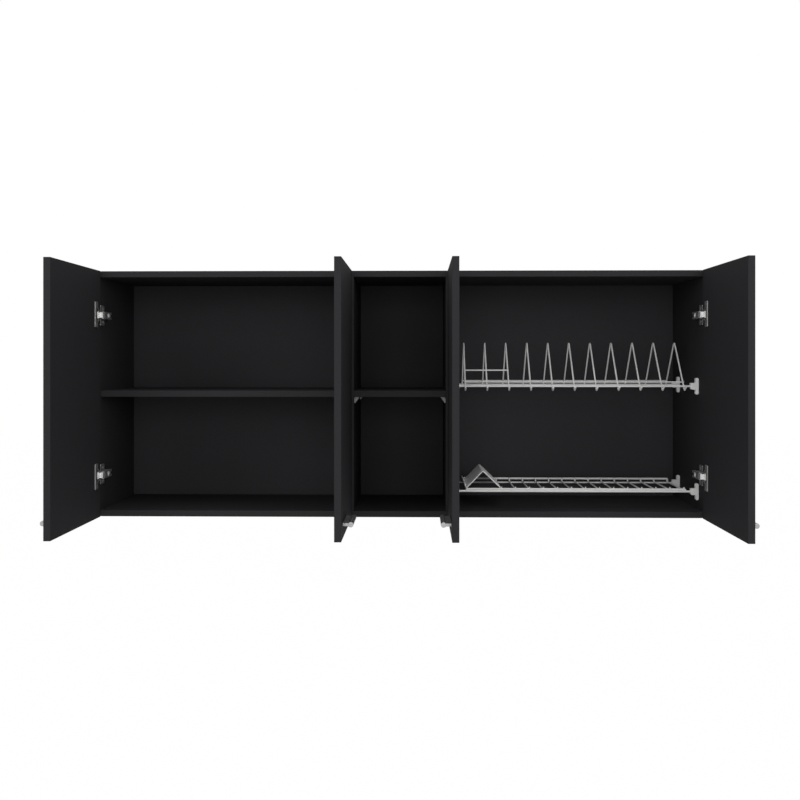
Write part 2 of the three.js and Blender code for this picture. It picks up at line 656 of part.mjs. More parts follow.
// Where the rails end, inside their sockets
function railEnds() {
  const seat = FIT + BRACKET_THICKNESS + SOCKET_LENGTH - SOCKET_REACH + FIT;
  return [dividerOuter + seat, sideInner - seat];
}

function buildRackBrackets() {
  const levels = {
    plate_rack: [PLATE_RAIL_HEIGHT, PLATE_RAIL_RADIUS, PLATE_RAIL_RADIUS],
    cup_rack: [CUP_RAIL_HEIGHT, CUP_RAIL_RADIUS, CUP_REAR_RAIL_RADIUS],
  };
  for (const [level, [height, frontRadius, rearRadius]] of Object.entries(levels)) {
    for (const hand of [-1, 1]) {
      const sideName = hand < 0 ? 'left' : 'right';
      const front = rackBracket(FRONT_RAIL_IN, height, frontRadius, hand);
      addPiece(`${level}_bracket_${sideName}_front`, front, whitePlastic);
      const rear = rackBracket(REAR_RAIL_IN, height, rearRadius, hand);
      addPiece(`${level}_bracket_${sideName}_rear`, rear, whitePlastic);
    }
  }
}

// Places from a first to a last one, in equal steps as near as can be to a wanted step
function evenPlaces(first, last, wantedStep) {
  const steps = Math.round((last - first) / wantedStep);
  return Array.from({ length: steps + 1 }, (_, i) => first + ((last - first) * i) / steps);
}

// A hoop's leg slopes from the apex down behind a rail, welded against it
function hoopLeg(railIn) {
  const steepest = (HOOP_APEX_IN - railIn) / HOOP_APEX_RISE;
  const atRail = railIn + (HOOP_RADIUS + PLATE_RAIL_RADIUS - WELD_SINK) * Math.hypot(1, steepest);
  const lean = (HOOP_APEX_IN - atRail) / HOOP_APEX_RISE;
  return { lean, yAt: (rise) => frontPlane + atRail + lean * rise };
}

function buildPlateRack() {
  const [railStart, railEnd] = railEnds();
  const wires = [];
  for (const railIn of [FRONT_RAIL_IN, REAR_RAIL_IN]) {
    const railPoints = [railStart, railEnd].map((x) => [x, frontPlane + railIn, PLATE_RAIL_HEIGHT]);
    wires.push(rod(...railPoints, PLATE_RAIL_RADIUS, WIRE_SIDES));
  }
  const frontLeg = hoopLeg(FRONT_RAIL_IN);
  const rearLeg = hoopLeg(REAR_RAIL_IN);
  const toeY = frontLeg.yAt(-HOOP_TOE_DROP);
  const toeHeight = PLATE_RAIL_HEIGHT - HOOP_TOE_DROP;
  const hoops = evenPlaces(dividerOuter + HOOP_END_IN, sideInner - HOOP_END_IN, HOOP_PITCH);
  for (const x of hoops) {
    wires.push(wire([
      [x, toeY - HOOP_HOOK_REACH, toeHeight + HOOP_HOOK_RISE],
      [x, toeY, toeHeight],
      [x, frontPlane + HOOP_APEX_IN, PLATE_RAIL_HEIGHT + HOOP_APEX_RISE],
      [x, rearLeg.yAt(-HOOP_HEEL_DROP), PLATE_RAIL_HEIGHT - HOOP_HEEL_DROP],
    ], HOOP_RADIUS, [HOOP_TOE_BEND, HOOP_BEND], WIRE_SIDES, WIRE_BEND_STEPS));
  }
  // Each of these is welded against the outer side of the sloping legs that it joins
  const alongLegs = (leg, rise, count) => {
    const apart = (HOOP_RADIUS + PLATE_WIRE_RADIUS - WELD_SINK) * Math.hypot(1, leg.lean);
    const y = leg.yAt(rise) - Math.sign(leg.lean) * apart;
    const ends = [hoops[0], hoops[count - 1]].map((x) => [x, y, PLATE_RAIL_HEIGHT + rise]);
    return rod(...ends, PLATE_WIRE_RADIUS, WIRE_SIDES);
  };
  wires.push(alongLegs(frontLeg, PLATE_WIRE_RISE, hoops.length));
  wires.push(alongLegs(rearLeg, PLATE_WIRE_RISE, hoops.length));
  wires.push(alongLegs(frontLeg, SHORT_WIRE_RISE, Math.min(SHORT_WIRE_HOOPS, hoops.length)));
  addPiece('plate_rack', fuse(wires), whiteWire);
}

function buildCupRack() {
  const [railStart, railEnd] = railEnds();
  const wires = [];
  const rails = [
    [FRONT_RAIL_IN, CUP_RAIL_RADIUS, CUP_UPPER_FRONT_RISE],
    [REAR_RAIL_IN, CUP_REAR_RAIL_RADIUS, CUP_UPPER_REAR_RISE],
  ];
  for (const [railIn, railRadius, upperRise] of rails) {
    const y = frontPlane + railIn;
    wires.push(rod([railStart, y, CUP_RAIL_HEIGHT], [railEnd, y, CUP_RAIL_HEIGHT], railRadius, WIRE_SIDES));
    const from = dividerOuter + CUP_UPPER_START_IN;
    const to = sideInner - CUP_UPPER_END_IN;
    const upperHeight = CUP_RAIL_HEIGHT + upperRise;
    wires.push(wire([
      [from, y, CUP_RAIL_HEIGHT],
      [from, y, upperHeight],
      [to, y, upperHeight],
      [to, y, CUP_RAIL_HEIGHT],
    ], CUP_UPPER_RADIUS, [CUP_UPPER_BEND, CUP_UPPER_BEND], WIRE_SIDES, WIRE_BEND_STEPS));
  }
  const frontY = frontPlane + FRONT_RAIL_IN + tipSetback;
  const rearY = frontPlane + REAR_RAIL_IN - tipSetback;
  const places = evenPlaces(dividerOuter + CROSS_FIRST_IN, sideInner - CROSS_LAST_IN, CROSS_PITCH);
  for (const x of [dividerOuter + RIDGE_VALLEY_IN, ...places]) {
    wires.push(wire([
      [x, frontY, CUP_RAIL_HEIGHT + CROSS_TIP_RISE],
      [x, frontY, CUP_RAIL_HEIGHT + CROSS_RISE],
      [x, rearY, CUP_RAIL_HEIGHT + CROSS_RISE],
      [x, rearY, CUP_RAIL_HEIGHT + CROSS_REAR_TIP_RISE],
    ], CROSS_RADIUS, [CROSS_BEND, CROSS_BEND], WIRE_SIDES, WIRE_BEND_STEPS));
  }
  addPiece('cup_rack', fuse(wires), whiteWire);
}

// Moves every point of an open line sideways by a distance, with mitred corners
function offsetLine(points, distance) {
  return points.map((point, i) => {
    const before = points[Math.max(i - 1, 0)];
    const after = points[Math.min(i + 1, points.length - 1)];
    const arrive = (i > 0 ? point.clone().sub(before) : after.clone().sub(point)).normalize();
    const leave = (i < points.length - 1 ? after.clone().sub(point) : point.clone().sub(before)).normalize();
    const normal = new THREE.Vector2(-arrive.y - leave.y, arrive.x + leave.x).normalize();
    const miter = distance / normal.dot(new THREE.Vector2(-arrive.y, arrive.x));
    return point.clone().addScaledVector(normal, miter);
  });
}

// Replaces the corners of an open line by short arcs
function roundLine(points, corner, steps) {
  const rounded = [points[0]];
  for (let i = 1; i < points.length - 1; i += 1) {
    const back = points[i - 1].clone().sub(points[i]).normalize();
    const ahead = points[i + 1].clone().sub(points[i]).normalize();
    const arc = new THREE.QuadraticBezierCurve(
      points[i].clone().addScaledVector(back, corner),
      points[i],
      points[i].clone().addScaledVector(ahead, corner),
    );
    rounded.push(...arc.getPoints(steps));
  }
  rounded.push(points[points.length - 1]);
  return rounded;
}

// A folded sheet between the upright tips of the cross wires, standing on two of them
function buildRidge() {
  const half = RIDGE_THICKNESS / 2;
  const seat = CUP_RAIL_HEIGHT + CROSS_RISE + CROSS_RADIUS + FIT + half;
  const centreLine = [
    new THREE.Vector2(dividerOuter + RIDGE_LIP_IN, CUP_RAIL_HEIGHT + RIDGE_LIP_RISE),
    new THREE.Vector2(dividerOuter + RIDGE_VALLEY_IN, seat),
    new THREE.Vector2(dividerOuter + RIDGE_PEAK_IN, CUP_RAIL_HEIGHT + RIDGE_PEAK_RISE),
    new THREE.Vector2(dividerOuter + CROSS_FIRST_IN - RIDGE_END_SHORT, seat),
  ];
  const line = roundLine(centreLine, RIDGE_CORNER, BEND_STEPS);
  const outline = [...offsetLine(line, -half), ...offsetLine(line, half).reverse()];
  const clearOfTips = tipSetback + CROSS_RADIUS + FIT;
  const depth = REAR_RAIL_IN - FRONT_RAIL_IN - 2 * clearOfTips;
  const sheet = standUpright(extrude(new THREE.Shape(outline), depth));
  addPiece('cup_rack_ridge', sheet.translate(0, frontPlane + REAR_RAIL_IN - clearOfTips, 0), whitePlastic);
}

buildCarcass();
buildShelves();
buildDoor('left_outer', -sideInner, 1);
buildDoor('left_inner', -dividerOuter, -1);
buildDoor('right_inner', dividerOuter, 1);
buildDoor('right_outer', sideInner, -1);
buildRackBrackets();
buildPlateRack();
buildCupRack();
buildRidge();

const part = new THREE.Group();
part.add(cabinet);

export default part;
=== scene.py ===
"""The looks of a kitchen wall cabinet with four open doors, a shelved middle and a dish rack."""

import math

import bpy
from mathutils import Matrix, Vector


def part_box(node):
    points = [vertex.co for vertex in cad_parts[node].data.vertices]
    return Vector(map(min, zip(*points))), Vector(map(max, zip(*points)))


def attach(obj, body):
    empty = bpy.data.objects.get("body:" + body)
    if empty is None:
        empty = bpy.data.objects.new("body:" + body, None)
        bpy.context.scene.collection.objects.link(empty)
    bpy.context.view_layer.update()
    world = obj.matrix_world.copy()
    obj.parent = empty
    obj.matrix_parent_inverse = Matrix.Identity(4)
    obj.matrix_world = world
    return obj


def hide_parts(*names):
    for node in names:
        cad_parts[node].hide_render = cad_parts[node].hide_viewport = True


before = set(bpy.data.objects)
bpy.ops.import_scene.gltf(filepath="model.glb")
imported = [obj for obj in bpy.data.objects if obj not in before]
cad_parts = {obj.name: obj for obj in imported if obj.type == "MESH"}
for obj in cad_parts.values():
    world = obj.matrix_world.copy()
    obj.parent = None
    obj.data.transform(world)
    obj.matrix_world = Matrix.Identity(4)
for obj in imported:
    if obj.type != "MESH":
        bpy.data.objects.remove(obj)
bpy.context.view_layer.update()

MM = 0.001
X, Y, Z = 0, 1, 2
QUARTER_TURN = math.pi / 2
HALF_TURN = math.pi

# Camera, fitted to the straight edges of the photographed carcass and doors
IMAGE_SIDE = 800
SENSOR = 36
FOCAL_PIXELS = 954.6
HORIZON_ROW = 360.4
CAMERA_RIGHT = 46.8 * MM
CAMERA_DISTANCE = 2322.2 * MM
CAMERA_HEIGHT = 381.6 * MM
CAMERA_TURN = math.radians(1.14)

# Floor, surroundings and lamps, in metres. A lamp has a place, an aim, a side and its watts.
FLOOR_SIDE = 40
FLOOR_DROP = 1.4
FLOOR_GREY = 0.8
FLOOR_ROUGHNESS = 0.9
FLOOR_WHITE_SHARE = 0.995
AMBIENT = 0.3
LAMPS = {
    "overhead softbox": ((0, -1.1, 2.2), (0, -0.4, -0.2), 2.2, 21),
    "left softbox": ((-2, -3, 0.7), (0, -0.1, 0), 1.5, 22),
    "right softbox": ((2, -3, 0.7), (0, -0.1, 0), 1.5, 22),
    "far softbox": ((0.1, -6, 0.3), (0, -0.2, 0), 2.5, 64),
}

# How far a face or an edge has to turn toward a way to count as facing it, as a cosine
TOWARD = 0.5
MORE_TOWARD = 0.6
NEARLY_SQUARE = 0.9
SQUARE = 0.99

# Fits and cuts
FIT = 0.3 * MM
CUT_OVERRUN = 4 * MM
SHALLOW_OVERRUN = 1 * MM
SHEET_EDGE = 0.25 * MM

# Boards
BOARD_EDGE = 0.5 * MM
BORE_RADIUS = 17.8 * MM
BORE_DEPTH = 11.3 * MM
BORE_SIDES = 64
PANEL_GROOVE = 5 * MM

# Handles: a round bar with a flat web to the door
HANDLE_RADIUS = 5.9 * MM
HANDLE_SIDES = 72
HANDLE_END = 0.8 * MM
HANDLE_OFF = 17 * MM
HANDLE_WEB = 6.5 * MM
HANDLE_WEB_SHORT = 0.15 * MM
HANDLE_WEB_GAP = 0.1 * MM
HANDLE_WEB_EDGE = 0.5 * MM

# Screw heads: heights and radii as shares of the whole, then the arms and floor of the cross
SCREW_RINGS = ((0, 1), (0.4, 1), (0.72, 0.9), (0.92, 0.7), (1, 0.45))
SCREW_SIDES = 40
CROSS_LONG = 0.58
CROSS_SHORT = 0.14
CROSS_FLOOR = 0.4
CROSS_TOP = 2

# Concealed hinges, in a frame on the cabinet wall: X off the wall, -Y out of the front, Z up
ARM_PIN = Vector((10, -6, 0)) * MM
CUP_PIN = Vector((1.3, -17.643, 0)) * MM
PIN_RADIUS = 1.3 * MM
PIN_SIDES = 24
PIN_SUNK = 0.2 * MM

CUP_CENTRE = Vector((4.3, -30.143, 0)) * MM
CUP_DEPTH = 11 * MM
CUP_INSIDE = 16.6 * MM
CUP_SIDES = 64
# How far past the cup's inside the painted shade reaches
SHADE_PAST_INSIDE = 0.1 * MM
# The bowl's heights and radii in millimetres, up its outside, over the rim and down inside
BOWL_RINGS = (
    (0, 14.5), (0.35, 16.0), (1.2, 17.1), (2.6, 17.5), (11.05, 17.5), (11.05, 18.3), (11.4, 18.1),
    (11.5, 17.8), (11.5, 17.0), (11.1, 16.6), (3.0, 16.6), (1.7, 16.1), (0.9, 14.6),
)
FLANGE_LOW = Vector((4.35, -51.643, -31)) * MM
FLANGE_HIGH = Vector((7.6, -32.643, 31)) * MM
FLANGE_CORNER = 3 * MM
FLANGE_EDGE = 1.1 * MM
FLANGE_SCREW_SUNK = 1.1 * MM
FLANGE_SCREW_RISE = 24 * MM

LINK_HALF = 6.5 * MM
LINK_THICKNESS = 2 * MM
LINK_BULGE = 4 * MM
LINK_EYE_RADIUS = 2.3 * MM
LINK_EAR_HALF = 8 * MM
LINK_NOSE_RADIUS = 3 * MM
LINK_SHOULDER = Vector((8, -10.8, 0)) * MM
LINK_SHOULDER_RADIUS = 2.2 * MM
LINK_SHOULDER_SHARE = 0.99
# Beyond these the link's nose is given painted shade
LINK_SHADE_PAST_X = ARM_PIN.x - 0.8 * MM
LINK_SHADE_PAST_Y = LINK_SHOULDER.y + 1.4 * MM

ARM_LOW = Vector((6, -10, -8.5)) * MM
ARM_HIGH = Vector((14, 48, 8.5)) * MM
ARM_NOSE_RADIUS = 3.98 * MM
ARM_WEB = 1.4 * MM
ARM_CHEEK = 1.7 * MM
ARM_EDGE = 0.35 * MM
ARM_MOUTH_END = -3 * MM
ARM_SLOT_RADIUS = 3.2 * MM
ARM_SLOT_START = 39 * MM
ARM_PIN_SHORT = 0.1 * MM
ARM_SCREW_IN = 24.5 * MM
CLAMP_SCREW_IN = 2.5 * MM
CLAMP_SCREW_SUNK = 2.2 * MM
CLAMP_SCREW_SHAPE = (0.8, 0.8, 1.4, 1)
SCREW_SINK = 0.05 * MM
WING_LOW = Vector((0.3, 2, -24.5)) * MM
WING_HIGH = Vector((2.5, 29, 24.5)) * MM
WING_CORNER = 4 * MM
WING_SCREW_IN = 17 * MM
WING_SCREW_RISE = 16 * MM
RIB_LOW = Vector((WING_LOW.x + 0.8 * MM, WING_LOW.y - 3.2 * MM, WING_LOW.z + MM))
RIB_HIGH = Vector((WING_HIGH.x + 0.9 * MM, WING_LOW.y + 2.5 * MM, WING_HIGH.z - MM))
RIB_CORNER = 1.2 * MM
PEDESTAL_START = 5 * MM
PEDESTAL_END = 43 * MM
PEDESTAL_OVERLAP = 0.6 * MM
PEDESTAL_CORNER = 1.5 * MM

# Rack brackets, the back of each on X = 0 and its socket open toward -X
BRACKET_THICKNESS = 7.6 * MM
BRACKET_HEIGHT = 41 * MM
BRACKET_DEPTH = 10 * MM
BRACKET_CORNER = 3.7 * MM
BRACKET_EDGE = 1.4 * MM
SOCKET_LENGTH = 12 * MM
SOCKET_HEIGHT = 16 * MM
SOCKET_CORNER = 4 * MM
SOCKET_TOP_CORNER = 1.2 * MM
SOCKET_REACH = 10 * MM

# Racks: distances in from the front plane, heights over the underside of the cabinet
FRONT_RAIL_IN = 45 * MM
REAR_RAIL_IN = 215 * MM
RAIL_SIDES = 24
WELD_SINK = 0.6 * MM
WIRE_SIDES = 16
WIRE_END_SHARE = 0.3
PLATE_RAIL_HEIGHT = 318 * MM
PLATE_RAIL_RADIUS = 2.3 * MM
HOOP_END_IN = 34.5 * MM
HOOP_PITCH = 54 * MM
HOOP_RADIUS = 1.9 * MM
HOOP_APEX_IN = 137 * MM
HOOP_APEX_RISE = 112 * MM
HOOP_BEND = 7 * MM
HOOP_TOE_DROP = 10.5 * MM
HOOP_TOE_BEND = 3 * MM
HOOP_HOOK_REACH = 14 * MM
HOOP_HOOK_RISE = 8 * MM
HOOP_HEEL_DROP = 3 * MM
PLATE_WIRE_RISE = 10 * MM
PLATE_WIRE_RADIUS = 1.6 * MM
PLATE_WIRE_PAST_HOOP = 2 * MM
SHORT_WIRE_RISE = 39 * MM
SHORT_WIRE_HOOPS = 3
CUP_RAIL_HEIGHT = 58.3 * MM
CUP_RAIL_RADIUS = 2.7 * MM
CUP_REAR_RAIL_RADIUS = 2 * MM
CUP_UPPER_FRONT_RISE = 5.1 * MM
CUP_UPPER_REAR_RISE = 10.4 * MM
CUP_UPPER_RADIUS = 2.6 * MM
CUP_UPPER_START_IN = 38 * MM
CUP_UPPER_END_IN = 32 * MM
CUP_UPPER_BEND = 2.9 * MM
CROSS_PITCH = 34.5 * MM
CROSS_FIRST_IN = 124.3 * MM
CROSS_LAST_IN = 33.8 * MM
CROSS_RADIUS = 1.8 * MM
CROSS_RISE = 2.8 * MM
CROSS_TIP_RISE = 10.2 * MM
CROSS_REAR_TIP_RISE = 13.2 * MM
CROSS_BEND = 4 * MM
RIDGE_THICKNESS = 2.2 * MM
RIDGE_LIP_IN = 33.2 * MM
RIDGE_LIP_RISE = 18 * MM
RIDGE_VALLEY_IN = 37.4 * MM
RIDGE_PEAK_IN = 78.5 * MM
RIDGE_PEAK_RISE = 49 * MM
RIDGE_END_SHORT = 1 * MM
RIDGE_CORNER = 4 * MM
RIDGE_EDGE = 0.7 * MM

# Keyhole plates and the pockets behind them
HANGER_CORNER = 5 * MM
HANGER_SCREW_SIDEWAYS = 21 * MM
HANGER_SCREW_SUNK = 1.55 * MM
HANGER_SCREW_SHARE = 0.9
HANGER_SEAT_RADIUS = 3.9 * MM
HANGER_SEAT_DEPTH = 1.3 * MM
KEYHOLE_RADIUS = 6 * MM
KEYHOLE_SLOT_RADIUS = 3 * MM
KEYHOLE_RISE = 12 * MM
POCKET_DEPTH = 11 * MM
POCKET_HALF = 11 * MM
POCKET_RISE = 17 * MM

# Corner brackets under the middle shelf
GUSSET_PLATE = 2 * MM
GUSSET_WEB = 2.4 * MM
GUSSET_EDGE = 0.3 * MM

# Each door's hand is the way its inner face looks along X
DOORS = {"left_outer": 1, "left_inner": -1, "right_inner": 1, "right_outer": -1}
LEVELS = ("lower", "upper")

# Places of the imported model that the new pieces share
carcass_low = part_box("left_side")[0]
FRONT = carcass_low.y
BASE = carcass_low.z
DIVIDER_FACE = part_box("right_divider")[1].x
SIDE_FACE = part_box("right_side")[0].x
GROOVE_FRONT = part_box("back_panel")[0].y - FIT
GROOVE_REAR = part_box("back_panel")[1].y + FIT


# Modelling tools


def pick(piece):
    """Leaves one piece selected and active."""
    bpy.ops.object.select_all(action="DESELECT")
    piece.select_set(True)
    bpy.context.view_layer.objects.active = piece


def settle(piece, name):
    """Moves a piece's place into its mesh and names it."""
    pick(piece)
    bpy.ops.object.transform_apply(location=True, rotation=True, scale=True)
    piece.name = name
    piece.data.name = name
    return piece


def block(name, low, high):
    """A box between its lowest and highest corners."""
    bpy.ops.object.select_all(action="DESELECT")
    low, high = Vector(low), Vector(high)
    bpy.ops.mesh.primitive_cube_add(size=1, location=(low + high) / 2, scale=high - low)
    return settle(bpy.context.object, name)


def sorted_corners(a, b):
    """The lowest and highest corners of a box given by any two opposite ones."""
    return [tuple(min(p) for p in zip(a, b)), tuple(max(p) for p in zip(a, b))]


def round_bar(name, start, end, radius, sides=32):
    bpy.ops.object.select_all(action="DESELECT")
    start, end = Vector(start), Vector(end)
    run = end - start
    bpy.ops.mesh.primitive_cylinder_add(
        vertices=sides,
        radius=radius,
        depth=run.length,
        location=(start + end) / 2,
        rotation=run.to_track_quat("Z", "Y").to_euler(),
    )
    return settle(bpy.context.object, name)


def turned(name, rings, sides):
    """Lathe work about Z: a disc drawn out from ring to ring, each a height and a radius."""
    bpy.ops.object.select_all(action="DESELECT")
    height, radius = rings[0]
    bpy.ops.mesh.primitive_circle_add(
        vertices=sides, radius=radius, fill_type="NGON", location=(0, 0, height))
    bpy.ops.object.mode_set(mode="EDIT")
    bpy.ops.mesh.select_mode(type="FACE")
    bpy.ops.mesh.select_all(action="SELECT")
    for next_height, next_radius in rings[1:]:
        rise = (0, 0, next_height - height)
        bpy.ops.mesh.extrude_region_move(TRANSFORM_OT_translate={"value": rise})
        share = next_radius / radius
        bpy.ops.transform.resize(value=(share, share, 1), center_override=(0, 0, next_height))
        height, radius = next_height, next_radius
    bpy.ops.mesh.select_all(action="SELECT")
    bpy.ops.mesh.normals_make_consistent(inside=False)
    bpy.ops.object.mode_set(mode="OBJECT")
    return settle(bpy.context.object, name)


def draw_ring_along(name, corners, bends, steps=6):
    """Draws the selected ring along straight runs and the bends between them, and closes it."""
    here = corners[0]
    way = (corners[1] - here).normalized()
    for corner, beyond, bend in zip(corners[1:], corners[2:], bends):
        ahead = (beyond - corner).normalized()
        turn = way.angle(ahead)
        reach = bend * math.tan(turn / 2)
        stop = corner - way * reach
        axis = way.cross(ahead).normalized()
        centre = stop + axis.cross(way) * bend
        bpy.ops.mesh.extrude_region_move(TRANSFORM_OT_translate={"value": stop - here})
        bpy.ops.mesh.spin(steps=steps, angle=-turn, center=centre, axis=axis)
        here, way = corner + ahead * reach, ahead
    bpy.ops.mesh.extrude_region_move(TRANSFORM_OT_translate={"value": corners[-1] - here})
    return close_ends(name)


def close_ends(name):
    """Fills the ring that is selected and the one where the piece began."""
    bpy.ops.mesh.edge_face_add()
    bpy.ops.mesh.select_all(action="DESELECT")
    bpy.ops.mesh.select_non_manifold()
    bpy.ops.mesh.edge_face_add()
    bpy.ops.mesh.select_all(action="SELECT")
    bpy.ops.mesh.normals_make_consistent(inside=False)
    bpy.ops.object.mode_set(mode="OBJECT")
    return settle(bpy.context.object, name)


def edit_ring():
    """Opens the active ring for editing, with all its edges selected."""
    bpy.ops.object.mode_set(mode="EDIT")
    bpy.ops.mesh.select_mode(type="EDGE")
    bpy.ops.mesh.select_all(action="SELECT")


def bent_wire(name, corners, radius, bends=(), sides=WIRE_SIDES):
    """A round wire along a list of corners, with the radius of each bend."""
    corners = [Vector(corner) for corner in corners]
    way = corners[1] - corners[0]
    bpy.ops.object.select_all(action="DESELECT")
    bpy.ops.mesh.primitive_circle_add(
        vertices=sides,
        radius=radius,
        fill_type="NOTHING",
        location=corners[0],
        rotation=way.to_track_quat("Z", "Y").to_euler(),
    )
    edit_ring()
    piece = draw_ring_along(name, corners, bends)
    return soften(piece, radius * WIRE_END_SHARE, angle=60)


def flat_ring(place, across, along, thickness, width):
    """A four-cornered ring, its thickness across and its width along the given directions."""
    bpy.ops.object.select_all(action="DESELECT")
    turn = Matrix((across, along, across.cross(along))).transposed()
    bpy.ops.mesh.primitive_plane_add(size=1, location=place, rotation=turn.to_euler())
    ring = bpy.context.object
    ring.scale = (thickness, width, 1)
    edit_ring()
    bpy.ops.mesh.delete(type="ONLY_FACE")
    bpy.ops.mesh.select_all(action="SELECT")


def screw_head(radius, height):
    """A pan head on Z = 0 with a cross recess."""
    rings = [(up * height, out * radius) for up, out in SCREW_RINGS]
    head = turned("screw_head", rings, SCREW_SIDES)
    long, short = CROSS_LONG * radius, CROSS_SHORT * radius
    floor, top = CROSS_FLOOR * height, CROSS_TOP * height
    carve(
        head,
        block("cross_cutter", (-long, -short, floor), (long, short, top)),
        block("cross_cutter", (-short, -long, floor), (short, long, top)),
    )
    return smooth(head)


def even_places(first, last, wanted_step):
    """Places at even steps from the first to the last, as near the wanted step as they fit."""
    steps = round((last - first) / wanted_step)
    return [first + (last - first) * i / steps for i in range(steps + 1)]


def apply_modifier(piece, kind, **settings):
    pick(piece)
    modifier = piece.modifiers.new(kind.title(), kind)
    for setting, value in settings.items():
        setattr(modifier, setting, value)
    bpy.ops.object.modifier_apply(modifier=modifier.name)
    return piece


def combine(piece, operation, others):
    """Cuts or joins each of the others with a piece and removes it."""
    for other in others:
        apply_modifier(piece, "BOOLEAN", operation=operation, solver="EXACT", object=other)
        bpy.data.objects.remove(other)
    return piece


def carve(piece, *cutters):
    """Cuts the cutters out of a piece."""
    return combine(piece, "DIFFERENCE", cutters)


def weld(piece, *others):
    """Joins solids that overlap into one solid."""
    return combine(piece, "UNION", others)


def trim(piece, place, way):
    """Cuts a piece off flat past a plane and closes the cut."""
    pick(piece)
    bpy.ops.object.mode_set(mode="EDIT")
    bpy.ops.mesh.select_all(action="SELECT")
    bpy.ops.mesh.bisect(
        plane_co=place, plane_no=way.normalized(), clear_outer=True, use_fill=True)
    bpy.ops.object.mode_set(mode="OBJECT")


def gather(name, pieces):
    """Puts several meshes in one object."""
    bpy.ops.object.select_all(action="DESELECT")
    for piece in pieces:
        piece.select_set(True)
    bpy.context.view_layer.objects.active = pieces[0]
    bpy.ops.object.join()
    pieces[0].name = name
    pieces[0].data.name = name
    return pieces[0]


def soften(piece, width, segments=2, angle=30):
    """Rounds the edges that are sharper than an angle in degrees."""
    return apply_modifier(
        piece,
        "BEVEL",
        width=width,
        segments=segments,
        limit_method="ANGLE",
        angle_limit=math.radians(angle),
    )


def smooth(piece, angle=35):
    """Smooth shading over round stretches, with flat faces kept flat."""
    pick(piece)
    bpy.ops.object.shade_smooth_by_angle(angle=math.radians(angle))
    return apply_modifier(piece, "WEIGHTED_NORMAL", keep_sharp=True)


def copy_of(piece, name, place):
    """A copy with a mesh of its own, its place worked into the mesh."""
    twin = bpy.data.objects.new(name, piece.data.copy())
    twin.data.name = name
    twin.data.transform(place)
    bpy.context.scene.collection.objects.link(twin)
    return twin


def put_away(*patterns):
    """Removes the first piece of each kind, once its copies are placed."""
    for pattern in patterns:
        bpy.data.objects.remove(pattern)


def round_edges_along(piece, axis, radius, segments, chosen=lambda middle: True):
    """Rounds the straight edges that run along an axis, as a corner cut with a radius."""
    pick(piece)
    bpy.ops.object.mode_set(mode="EDIT")
    bpy.ops.mesh.select_mode(type="EDGE")
    bpy.ops.mesh.select_all(action="DESELECT")
    bpy.ops.object.mode_set(mode="OBJECT")
    corners = piece.data.vertices
    for edge in piece.data.edges:
        a, b = (corners[i].co for i in edge.vertices)
        along = (b - a).normalized()
        edge.select = abs(along[axis]) > SQUARE and chosen((a + b) / 2)
    bpy.ops.object.mode_set(mode="EDIT")
    bpy.ops.mesh.bevel(offset=radius, segments=segments, affect="EDGES")
    bpy.ops.object.mode_set(mode="OBJECT")
    return piece


def paint_faces(piece, material, chosen):
    """Gives the chosen faces of a piece a material of their own."""
    piece.data.materials.append(material)
    place = len(piece.data.materials) - 1
    for face in piece.data.polygons:
        if chosen(face):
            face.material_index = place


def coat(piece, material):
    """Gives a whole piece one material."""
    piece.data.materials.clear()
    piece.data.materials.append(material)
    return piece


def dress(piece, body, material, node):
    """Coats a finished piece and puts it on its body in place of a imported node."""
    if material:
        coat(piece, material)
    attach(piece, body)
    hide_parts(node)
    return piece


# Materials


def new_material(name, colour, roughness, metallic=0.0, **inputs):
    material = bpy.data.materials.new(name)
    material.use_nodes = True
    shader = shader_of(material)
    shader.inputs["Base Color"].default_value = (*colour, 1)
    shader.inputs["Roughness"].default_value = roughness
    shader.inputs["Metallic"].default_value = metallic
    for socket, value in inputs.items():
        shader.inputs[socket.replace("_", " ")].default_value = value
    return material


def shader_of(material):
    return material.node_tree.nodes["Principled BSDF"]


def add_node(material, kind, **settings):
    node = material.node_tree.nodes.new(kind)
    for setting, value in settings.items():
        setattr(node, setting, value)
    return node


def link(material, out_node, out_socket, in_node, in_socket):
    material.node_tree.links.new(out_node.outputs[out_socket], in_node.inputs[in_socket])


def noise(material, scale, detail=3.0, stretch=(1, 1, 1)):
    """A noise texture on object coordinates, stretched along an axis where asked."""
    place = add_node(material, "ShaderNodeTexCoord")
    mapping = add_node(material, "ShaderNodeMapping")
    mapping.inputs["Scale"].default_value = stretch
    texture = add_node(material, "ShaderNodeTexNoise")
    texture.inputs["Scale"].default_value = scale
    texture.inputs["Detail"].default_value = detail
    link(material, place, "Object", mapping, "Vector")
    link(material, mapping, "Vector", texture, "Vector")
    return texture


def vary_colour(material, texture, colour, spread):
    """Lets the colour swing by a share of itself to the darker and the lighter side."""
    ramp = add_node(material, "ShaderNodeValToRGB")
    for element, position, share in zip(
        ramp.color_ramp.elements, (0.3, 0.7), (1 - spread, 1 + spread)
    ):
        element.position = position
        element.color = (*(c * share for c in colour), 1)
    link(material, texture, "Fac", ramp, "Fac")
    link(material, ramp, "Color", shader_of(material), "Base Color")


def vary_roughness(material, texture, low, high):
    span = add_node(material, "ShaderNodeMapRange")
    span.inputs["To Min"].default_value = low
    span.inputs["To Max"].default_value = high
    link(material, texture, "Fac", span, "Value")
    link(material, span, "Result", shader_of(material), "Roughness")


def add_bump(material, texture, strength, depth):
    bump = add_node(material, "ShaderNodeBump")
    bump.inputs["Strength"].default_value = strength
    bump.inputs["Distance"].default_value = depth
    link(material, texture, "Fac", bump, "Height")
    link(material, bump, "Normal", shader_of(material), "Normal")


